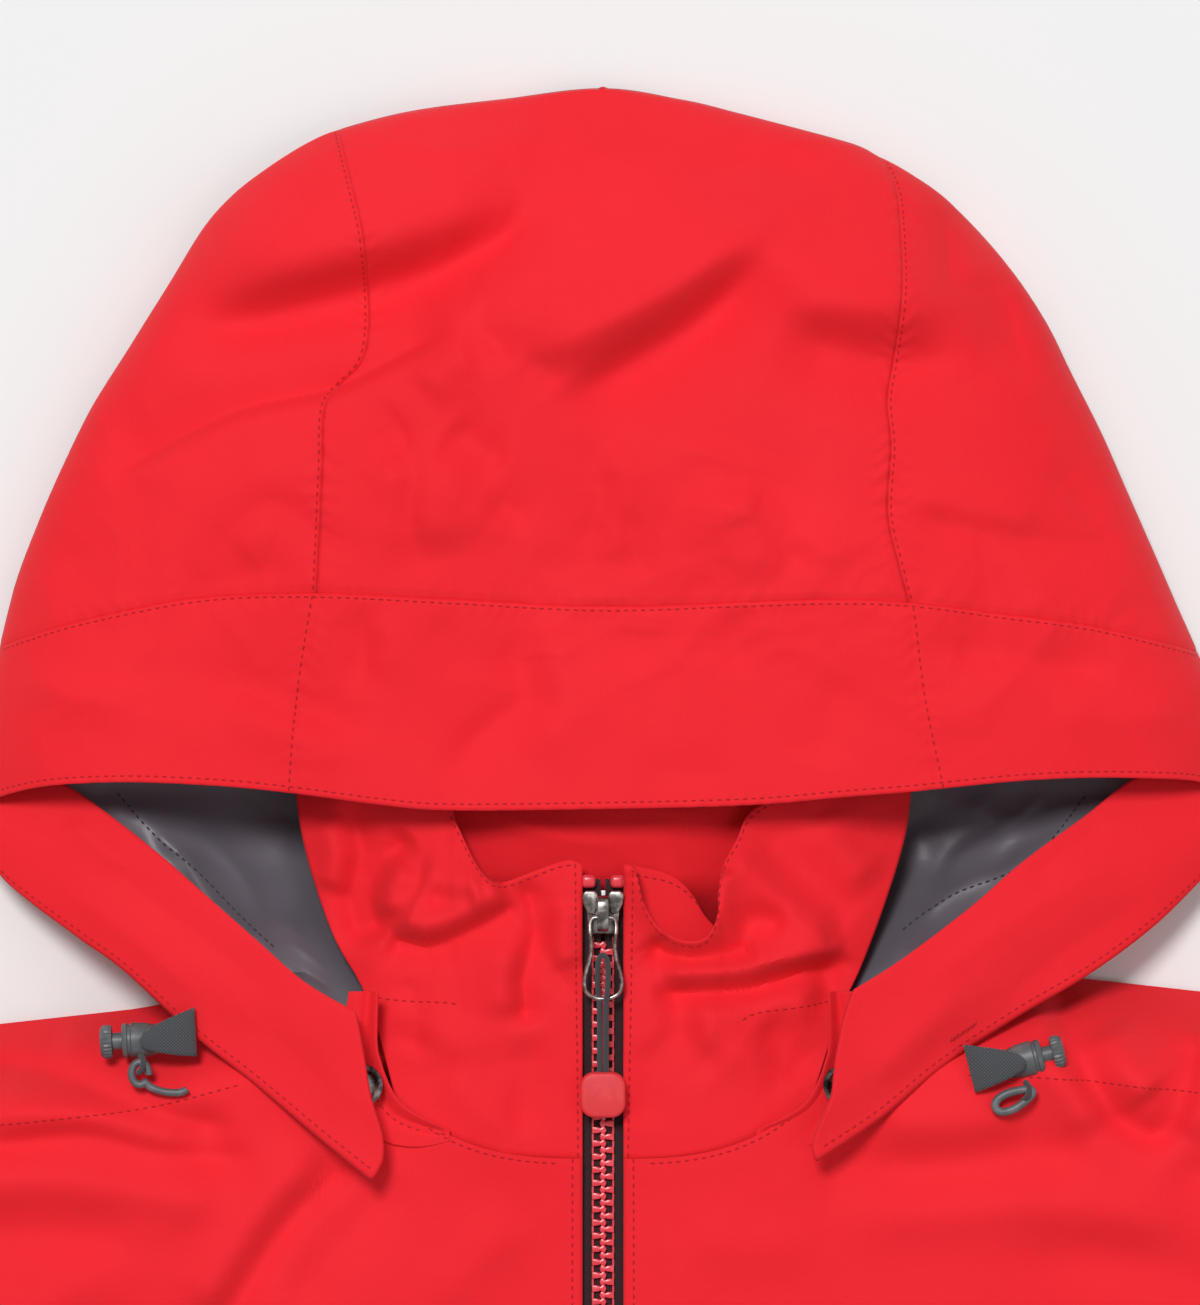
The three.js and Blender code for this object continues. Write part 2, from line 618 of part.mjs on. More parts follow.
function pullTail() {
  const ring = HINGE_Y - PULLER_LENGTH + WIRE / 2;
  const start = ring - WIRE / 2 - GAP;
  const cord = block(
    "pull_cord",
    TRIM_GREY,
    point(-2.1, start - PULL_CORD_LENGTH, HINGE_Z - 0.9),
    point(2.1, start, HINGE_Z + 0.9),
  );
  const grip = plate("pull_grip", RUBBER_RED, roundedRectangle(GRIP, GRIP, 3.4), HINGE_Z - GRIP_THICK / 2 + 0.1, GRIP_THICK, 5);
  grip.position.y = start - PULL_CORD_LENGTH - GAP - GRIP / 2;
  return [cord, grip];
}

function pocket() {
  const foot = GAP;
  const zip = block(
    "pocket_zip",
    TAPE_BLACK,
    point(-POCKET_WIDTH / 2, -POCKET_LENGTH / 2, foot),
    point(POCKET_WIDTH / 2, POCKET_LENGTH / 2, foot + POCKET_THICK),
  );
  const rest = POCKET_LENGTH / 2 - 12;
  const sliderFoot = foot + POCKET_THICK + GAP;
  const slider = block("pocket_slider", METAL, point(-3.6, rest, sliderFoot), point(3.6, rest + 9, sliderFoot + 1.6));
  const pullerFoot = sliderFoot + 1.6 + GAP;
  const puller = block("pocket_puller", RUBBER_RED, point(-2.6, rest - 22, pullerFoot), point(2.6, rest + 2, pullerFoot + 1.6));
  const turn = new THREE.Group();
  turn.position.set(POCKET_X, -POCKET_DROP, 0);
  turn.rotation.z = POCKET_TURN;
  turn.add(zip, slider, puller);
  return turn;
}

function hemLock() {
  const lock = new THREE.Group();
  lock.add(...cordLock("hem_lock"));
  lock.position.set(150, -BODY_LENGTH + LOCK_RADIUS + 4, LOCK_RADIUS + GAP);
  return lock;
}

/** The half of the jacket on the wearer's left, every mesh named with its side. */
function half(side) {
  const world = new THREE.Group();
  world.add(frontPanel(), ...sleeveSide(), collarFront(), neckFlap(), hoodSide(), chinBand(), ...snap(), ...hoodAdjuster(side));
  const plane = frontFrame();
  plane.add(...zipHalf(), pocket(), hemLock());
  world.add(plane);
  world.traverse((o) => {
    if (o.isMesh) o.name += "_" + side;
  });
  return world;
}

function frontFrame() {
  const plane = new THREE.Group();
  plane.position.z = FRONT_HEIGHT;
  plane.rotation.x = Math.atan(FRONT_SLOPE);
  return plane;
}

const jacket = new THREE.Group();
const left = half("left");
const right = half("right");
right.scale.x = -1;

const centre = frontFrame();
const boxFoot = CHAIN_FOOT - GAP - 12;
centre.add(
  ...zipSlider(),
  zipPuller(),
  ...pullTail(),
  block("zip_box", TEETH_RED, point(-TEETH_HALF, boxFoot, TEETH_FOOT), point(TEETH_HALF, CHAIN_FOOT - GAP, TEETH_TOP)),
  block(
    "storm_flap",
    SHELL_RED,
    point(-20, -BODY_LENGTH + 6, TEETH_FOOT - SLIDER_PLATE - 3 * GAP - LINING),
    point(20, -2, TEETH_FOOT - SLIDER_PLATE - 3 * GAP),
  ),
);
jacket.add(left, right, centre, ...bodyPanels(), ...collarBack(), ...hoodShared());

// The origin is under the middle of the whole, at floor level.
jacket.position.y = (BODY_LENGTH - HOOD_TOP) / 2 + 1;

export default jacket;
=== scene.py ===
"""A hooded hardshell jacket, zipped up and laid on its back, with the hood pulled forward over the collar.

Sizes in the classes are millimetres. x = 0 is the front zip, y = 0 is the neck seam at the centre front,
z = 0 is the floor. `at` turns such a place into the frame's metres.
"""

import json
import logging
import math
from collections.abc import Callable, Sequence
from dataclasses import dataclass, field
from enum import Enum

import bmesh
import bpy
import numpy as np
from mathutils import Matrix, Vector

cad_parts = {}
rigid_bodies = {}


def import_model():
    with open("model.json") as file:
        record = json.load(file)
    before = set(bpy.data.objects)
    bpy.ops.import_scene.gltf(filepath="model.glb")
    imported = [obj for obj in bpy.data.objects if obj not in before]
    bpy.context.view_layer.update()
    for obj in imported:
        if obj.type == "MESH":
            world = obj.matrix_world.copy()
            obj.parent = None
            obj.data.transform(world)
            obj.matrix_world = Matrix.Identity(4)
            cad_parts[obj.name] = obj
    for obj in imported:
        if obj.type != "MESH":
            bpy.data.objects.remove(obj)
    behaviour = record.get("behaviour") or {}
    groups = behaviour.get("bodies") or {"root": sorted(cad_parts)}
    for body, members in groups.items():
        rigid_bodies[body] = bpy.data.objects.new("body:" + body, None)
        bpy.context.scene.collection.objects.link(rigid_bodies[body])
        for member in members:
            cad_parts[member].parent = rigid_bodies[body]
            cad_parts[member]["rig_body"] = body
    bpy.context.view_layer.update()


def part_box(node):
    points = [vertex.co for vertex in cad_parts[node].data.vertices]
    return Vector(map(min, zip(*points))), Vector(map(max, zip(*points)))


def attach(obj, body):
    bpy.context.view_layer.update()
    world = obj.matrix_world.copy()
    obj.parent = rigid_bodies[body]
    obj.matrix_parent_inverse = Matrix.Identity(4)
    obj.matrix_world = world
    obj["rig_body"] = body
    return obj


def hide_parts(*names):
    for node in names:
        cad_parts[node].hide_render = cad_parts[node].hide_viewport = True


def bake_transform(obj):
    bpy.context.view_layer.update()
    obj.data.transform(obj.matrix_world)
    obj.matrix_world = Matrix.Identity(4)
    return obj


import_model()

log = logging.getLogger("jacket")
MM = 0.001
NECK_RISE = 50.0
NECK_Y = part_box("back_panel")[1].y / MM - NECK_RISE

Array = np.ndarray
Places = tuple[Array, Array, Array]
Place = Callable[[Array, Array], Places]
Line = Sequence[tuple[float, float]]
Colour = tuple[float, float, float]
Socket = bpy.types.NodeSocket


def at(x: float, y: float, z: float = 0.0) -> Vector:
    """The frame's point for a place in the jacket's own millimetres."""
    return Vector((x * MM, (y + NECK_Y) * MM, z * MM))


def blend(a: Array, b: Array, t: Array) -> Array:
    """A straight mix of a and b."""
    return a + (b - a) * t


def smooth(t: Array, low: float = 0.0, high: float = 1.0) -> Array:
    """A smooth step from 0 at low to 1 at high."""
    s = np.clip((np.asarray(t, float) - low) / (high - low), 0.0, 1.0)
    return s * s * (3 - 2 * s)


def roll(distance: Array, width: float) -> Array:
    """A rounded ramp from 0 at an edge to 1 at width and beyond."""
    return np.sin(0.5 * math.pi * np.clip(distance / width, 0.0, 1.0))


class Side(Enum):
    """The two halves of the jacket, by the wearer's sides. The value is the sign of x."""

    LEFT = 1
    RIGHT = -1

    @property
    def tag(self) -> str:
        """The word that the frame's names end with."""
        return self.name.lower()


# ------------------------------------------------------------------ how the cloth lies


def perlin(x: Array, y: Array, seed: int) -> Array:
    """Smooth noise between about -1 and 1 with cells one unit wide.

    Args:
        x: first coordinate, in cells.
        y: second coordinate, in cells.
        seed: picks one of many patterns.

    Returns:
        The noise at each point.
    """
    xi, yi = np.floor(x).astype(np.int64), np.floor(y).astype(np.int64)
    fx, fy = x - xi, y - yi

    def corner(dx: int, dy: int) -> Array:
        """The slope at one corner of the cell, times the way to it.

        Args:
            dx: 0 or 1, along the first coordinate.
            dy: 0 or 1, along the second coordinate.

        Returns:
            One value for each place.
        """
        h = (xi + dx) * 374761393 + (yi + dy) * 668265263 + seed * 1446653
        h = (h ^ (h >> 13)) * 1274126177
        turn = ((h ^ (h >> 16)) & 0xFFFF) / 65536.0 * 2 * math.pi
        return np.cos(turn) * (fx - dx) + np.sin(turn) * (fy - dy)

    sx = fx * fx * fx * (fx * (fx * 6 - 15) + 10)
    sy = fy * fy * fy * (fy * (fy * 6 - 15) + 10)
    low = blend(corner(0, 0), corner(1, 0), sx)
    high = blend(corner(0, 1), corner(1, 1), sx)
    return 1.5 * blend(low, high, sy)


@dataclass(frozen=True)
class Curve:
    """A smooth line through a few points."""

    points: Line
    step: float = 3.0

    def sampled(self) -> Array:
        """Points along the line about a step apart.

        Returns:
            One value for each place.
        """
        p = np.array([self.points[0], *self.points, self.points[-1]], float)
        out = []
        for a, b, c, d in zip(p, p[1:], p[2:], p[3:]):
            count = max(2, int(np.linalg.norm(c - b) / self.step))
            t = np.linspace(0, 1, count, endpoint=False)[:, None]
            out.append(
                0.5 * (
                    2 * b
                    + (c - a) * t
                    + (2 * a - 5 * b + 4 * c - d) * t**2
                    + (3 * b - a - 3 * c + d) * t**3
                )
            )
        return np.vstack([*out, p[-1:]])

    def along(self, t: Array) -> tuple[Array, Array]:
        """The x and y at shares t of the line's length.

        Args:
            t: shares of the length.

        Returns:
            x and y.
        """
        p = self.sampled()
        run = np.concatenate([[0], np.cumsum(np.linalg.norm(np.diff(p, axis=0), axis=1))])
        where = np.clip(t, 0, 1) * run[-1]
        return np.interp(where, run, p[:, 0]), np.interp(where, run, p[:, 1])


@dataclass(frozen=True)
class Fold:
    """A ridge, or with a negative height a valley, along a line in the cloth.

    crest is 2 for a round back and 1 for a sharp one. lean makes the left flank, seen along the line, wider
    and the right flank steeper. fade is the share of the length over which each end dies away.
    """

    points: Line
    height: float
    width: float
    crest: float = 1.6
    lean: float = 0.0
    fade: float = 0.3

    def lift(self, x: Array, y: Array) -> Array:
        """How far this fold raises the cloth at each place.

        Args:
            x: distance from the zip.
            y: distance up from the neck seam.

        Returns:
            One value for each place.
        """
        p = Curve(self.points, 5.0).sampled()
        best = np.full(x.shape, 1e9)
        side = np.zeros(x.shape)
        share = np.zeros(x.shape)
        run = np.concatenate([[0], np.cumsum(np.linalg.norm(np.diff(p, axis=0), axis=1))])
        for (ax, ay), (bx, by), s0, s1 in zip(p, p[1:], run, run[1:]):
            dx, dy = bx - ax, by - ay
            size = dx * dx + dy * dy
            if size < 1e-9:
                continue
            t = np.clip(((x - ax) * dx + (y - ay) * dy) / size, 0, 1)
            ex, ey = x - ax - t * dx, y - ay - t * dy
            d = np.hypot(ex, ey)
            near = d < best
            best = np.where(near, d, best)
            side = np.where(near, np.sign(dx * ey - dy * ex), side)
            share = np.where(near, (s0 + t * (s1 - s0)) / run[-1], share)
        width = self.width * (1 + self.lean * side)
        fade = smooth(np.minimum(share, 1 - share), 0, self.fade) if self.fade > 0 else 1.0
        return self.height * fade * np.exp(-((best / width) ** self.crest))


@dataclass(frozen=True)
class Pucker:
    """The fine gathers that a seam's thread pulls into the cloth on both sides of it."""

    points: Line
    height: float = 0.22
    pitch: float = 5.0
    width: float = 4.0
    groove: float = 0.0

    def lift(self, x: Array, y: Array) -> Array:
        """How far the gathers raise the cloth at each place.

        Args:
            x: distance from the zip.
            y: distance up from the neck seam.

        Returns:
            One value for each place.
        """
        p = Curve(self.points, 4.0).sampled()
        best = np.full(np.shape(x), 1e9)
        run = np.zeros(np.shape(x))
        done = 0.0
        for (ax, ay), (bx, by) in zip(p, p[1:]):
            size = math.hypot(bx - ax, by - ay)
            if size < 1e-6:
                continue
            t = np.clip(((x - ax) * (bx - ax) + (y - ay) * (by - ay)) / size**2, 0, 1)
            d = np.hypot(x - ax - t * (bx - ax), y - ay - t * (by - ay))
            run = np.where(d < best, done + t * size, run)
            best = np.minimum(best, d)
            done += size
        beat = run / self.pitch + 1.3 * perlin(run / (4 * self.pitch), best / 9, 77)
        size = 0.5 + 0.5 * smooth(perlin(run / 22, best * 0, 78), -0.4, 0.4)
        wave = np.sin(2 * math.pi * beat) * size * np.exp(-((best / self.width) ** 2))
        return self.height * wave - self.groove * np.exp(-((best / 0.9) ** 2))


@dataclass(frozen=True)
class Crumple:
    """The small standing creases of a stiff shell cloth."""

    seed: int
    height: float = 1.0
    size: float = 42.0

    def lift(self, x: Array, y: Array) -> Array:
        """How far the creases raise the cloth at each place.

        Args:
            x: distance from the zip.
            y: distance up from the neck seam.

        Returns:
            One value for each place.
        """
        wx = x + 9 * perlin(x / 50, y / 50, self.seed + 7)
        wy = y + 9 * perlin(x / 50, y / 50, self.seed + 8)
        broad = perlin(wx / (1.9 * self.size), wy / (1.9 * self.size), self.seed)
        ridge = 0.35 - np.abs(perlin(wx / self.size, wy / self.size, self.seed + 1))
        mask = smooth(perlin(x / 60, y / 60, self.seed + 2), -0.3, 0.5)
        fine = 0.2 - np.abs(perlin(wx / (0.36 * self.size), wy / (0.36 * self.size), self.seed + 3))
        return self.height * (1.5 * broad + 1.1 * ridge * mask + 0.3 * fine * mask)


@dataclass(frozen=True)
class Relief:
    """Everything that makes one panel's surface uneven."""

    folds: tuple[Fold | Pucker, ...] = ()
    crumple: Crumple | None = None
    calm: float = 0.0  # within this distance of the middle the cloth lies flatter, held by the zip

    def lift(self, x: Array, y: Array) -> Array:
        """The sum of all folds and creases.

        Args:
            x: distance from the zip.
            y: distance up from the neck seam.

        Returns:
            One value for each place.
        """
        total = np.zeros(np.shape(x))
        for fold in self.folds:
            total = total + fold.lift(x, y)
        if self.crumple:
            total = total + self.crumple.lift(x, y)
        if self.calm:
            total = total * (0.15 + 0.85 * smooth(np.abs(x), 0.4 * self.calm, self.calm))
        return total


@dataclass(frozen=True)
class Patch:
    """A patch of cloth between four lines. foot and head run across, near and far run along."""

    foot: Line
    head: Line
    near: Line
    far: Line

    def spread(self, u: Array, v: Array) -> tuple[Array, Array]:
        """The x and y at shares u across and v along.

        Args:
            u: share of the way across.
            v: share of the way along.

        Returns:
            x and y.
        """
        out = []
        lines = [Curve(k) for k in (self.foot, self.head)]
        sides = [Curve(k) for k in (self.near, self.far)]
        for k in (0, 1):
            f, h = (line.along(u)[k] for line in lines)
            n, r = (line.along(v)[k] for line in sides)
            c00, c10 = self.foot[0][k], self.foot[-1][k]
            c01, c11 = self.head[0][k], self.head[-1][k]
            flat = blend(blend(c00, c10, u), blend(c01, c11, u), v)
            out.append(blend(f, h, v) + blend(n, r, u) - flat)
        return out[0], out[1]


# ------------------------------------------------------------------ the folds

# Places are millimetres, as in the rest of the script. A fold lies where its line runs on the cloth.

# The long soft folds of one front, down to the hem, for the left side.
FRONT_FOLDS = (
    Fold(((235, -200), (180, -260), (120, -330)), 3.0, 14, 1.4),
    Fold(((240, -230), (200, -330), (190, -420)), 2.6, 16, 1.5),
    Fold(((60, -250), (66, -400), (60, -560)), 1.6, 20, 2.0),
    Fold(((250, -520), (180, -560), (110, -640)), 2.2, 16, 1.5),
    Fold(((40, -600), (90, -640), (150, -660)), 1.6, 14, 1.5),
    Fold(((225, -60), (190, -120), (170, -190)), 3.2, 13, 1.3),
)

# The folds of the chest below the collar, which differ from side to side.
CHEST_FOLDS = {
    Side.RIGHT: (
        Fold(((-66, 2), (-74, -6), (-86, -19), (-97, -36), (-112, -62)), -4.8, 5.2, 1.6, -0.17, 0.12),
        Fold(((-74, 2), (-86, -8), (-98, -24), (-110, -44)), 4.1, 7, 1.8, 0, 0.2),
        Fold(((-54, -2), (-64, -15), (-76, -29), (-84, -44)), -2.5, 7, 1.8, 0, 0.25),
        Fold(((-170, 25), (-145, 21), (-129, 15.5), (-112, 10), (-96, 8)), -4.6, 5.2, 1.6, -0.15, 0.15),
        Fold(((-168, 14), (-145, 13), (-125, 8), (-106, 3)), 3.9, 8.4, 1.7, 0.1, 0.2),
        Fold(((-150, 30), (-135, 30), (-120, 26)), 3, 7, 1.7, 0, 0.25),
        Fold(((-180, 4), (-160, 4), (-138.8, 6), (-116.3, 1), (-90, 0)), -3.7, 5.2, 1.6, -0.12, 0.15),
        Fold(((-182, -8), (-150, -6), (-118, -10), (-96, -14)), 3, 7, 1.9, 0, 0.2),
        Fold(((-185, -22), (-150, -20), (-122, -24)), -2.5, 8.4, 1.8, 0, 0.25),
        Fold(((-125, -22), (-150, -40), (-190, -60)), 3, 9, 1.8),
        Fold(((-20, -14), (-34, -26), (-44, -44)), 1.6, 7, 1.9),
    ),
    Side.LEFT: (
        Fold(
            ((124.5, 48), (124, 36), (130, 22), (138, 11), (147, 6), (152, 9), (157, 20), (160, 34)), -5.5,
            5.2, 1.6, 0.15, 0.1
        ),
        Fold(((117, 44), (119, 32), (125, 18), (134, 6)), 3.9, 7, 1.7, 0.1, 0.2),
        Fold(((136, 36), (141, 24), (148, 16)), 4.4, 7, 1.8, 0, 0.2),
        Fold(((164, 36), (162, 22), (156, 4)), 3.4, 7, 1.7, -0.1, 0.25),
        Fold(((54, 3), (76, -2), (95.5, -1), (114, 2), (134, 0)), -3.9, 9.1, 1.8, -0.1, 0.15),
        Fold(((70, 10), (92, 9), (116, 12)), 2.8, 8.4, 1.8, 0, 0.25),
        Fold(((60, -12), (84, -14), (120, -12), (160, -20)), 3, 8, 1.9, 0, 0.2),
        Fold(((100, -30), (140, -28), (190, -40)), -2.3, 9, 1.9),
        Fold(((150, 0), (170, -8), (195, -12)), -3, 7, 1.7, 0, 0.25),
        Fold(((20, -18), (36, -24), (60, -22)), 1.4, 7, 1.9),
    ),
}

# The collar's strong folds.
COLLAR_FOLDS = {
    Side.RIGHT: (
        Fold(((-22, 69), (-32.9, 62.5), (-47.3, 56.5), (-59, 60)), -5.9, 4.3, 1.5, 0.23, 0.12),
        Fold(((-25, 73), (-36, 67), (-48, 62.5), (-56, 66)), 5.9, 6.8, 1.7, -0.1, 0.15),
        Fold(((-58.6, 58), (-62.8, 69.5), (-59, 79.1), (-50.5, 87)), -4.8, 4.1, 1.5, 0.15, 0.15),
        Fold(((-56, 64), (-57, 72), (-52, 80)), 3.1, 5.4, 1.7, 0, 0.25),
        Fold(((-70, 97), (-65, 82.4), (-68.5, 69.5), (-64, 54)), -4.5, 4.6, 1.6, 0.1, 0.2),
        Fold(((-75, 92), (-72, 80), (-74, 70)), 2.8, 5.4, 1.7, 0, 0.25),
        Fold(((-50, 76), (-40, 74), (-31, 74.5)), 3.6, 5.4, 1.7, 0.1, 0.25),
        Fold(((-48, 70), (-40, 69.5), (-33, 70)), -2.4, 4.1, 1.7, 0, 0.25),
        Fold(((-22, 76), (-20, 70), (-18.5, 59.9), (-21.7, 47), (-20, 34)), -4.3, 3.8, 1.5, 0.15, 0.15),
        Fold(((-26, 60), (-26, 48), (-26, 36)), 2.4, 6.1, 1.9),
        Fold(((-14, 73), (-15.2, 66), (-16.2, 56.7), (-7, 42)), -1.6, 3.4, 1.5, 0, 0.2),
        Fold(((-10, 70), (-11, 58), (-9, 50)), 2.4, 4.6, 1.7, 0, 0.25),
        Fold(((-60, 48), (-48, 36), (-28, 26)), 2.4, 7, 1.9),
        Fold(((-54, 50), (-50, 38), (-52, 26)), -2.4, 4.9, 1.7, 0, 0.25),
        Fold(((-22, 34), (-20, 20), (-26, 6)), -2.1, 6.8, 1.9),
        Fold(((-44, 24), (-34, 14), (-20, 10)), 1.9, 6.8, 1.9),
    ),
    Side.LEFT: (
        Fold(
            ((8, 78), (11.5, 69), (16.5, 62), (23, 59.5), (28.5, 61), (31.8, 67), (32.6, 78)), 4, 4.1, 1.6,
            0, 0.05
        ),
        Fold(((12, 60), (16, 55.5), (24, 53.5), (34, 55), (42, 57)), -5.9, 4.1, 1.5, -0.1, 0.15),
        Fold(((14, 49), (24, 50.5), (36, 51), (50, 54), (66, 57)), 6.2, 5.4, 1.5, 0.1, 0.15),
        Fold(((12, 44), (24, 44.5), (40, 45.5), (54, 50), (66, 52)), -6.4, 4.3, 1.5, -0.17, 0.15),
        Fold(((20, 40), (34, 40), (48, 43), (60, 43)), 3.3, 6.1, 1.7, 0, 0.2),
        Fold(((33, 84), (42, 74), (52, 65), (62, 58)), 3.8, 6.8, 1.6, 0.15, 0.2),
        Fold(((38, 90), (48, 80), (58, 71), (68, 62)), -3.1, 6.8, 1.8, 0, 0.25),
        Fold(((34, 62), (42, 64), (50, 62)), -3.1, 4.6, 1.7),
        Fold(((56, 92), (66, 80), (74, 72)), 2.6, 6.8, 1.8),
        Fold(((22, 36), (34, 29), (48, 26)), 2.6, 6.8, 1.8),
        Fold(((14, 37), (22, 32), (32, 22)), -2.1, 6.1, 1.8),
        Fold(((11, 34), (13, 22), (10, 6)), -1.7, 5.4, 1.9),
        Fold(((40, 36), (50, 28), (56, 20)), -2.4, 6.8, 1.8),
        Fold(((66, 56), (62, 48), (60, 38)), -2.8, 4.6, 1.7, 0, 0.25),
    ),
}

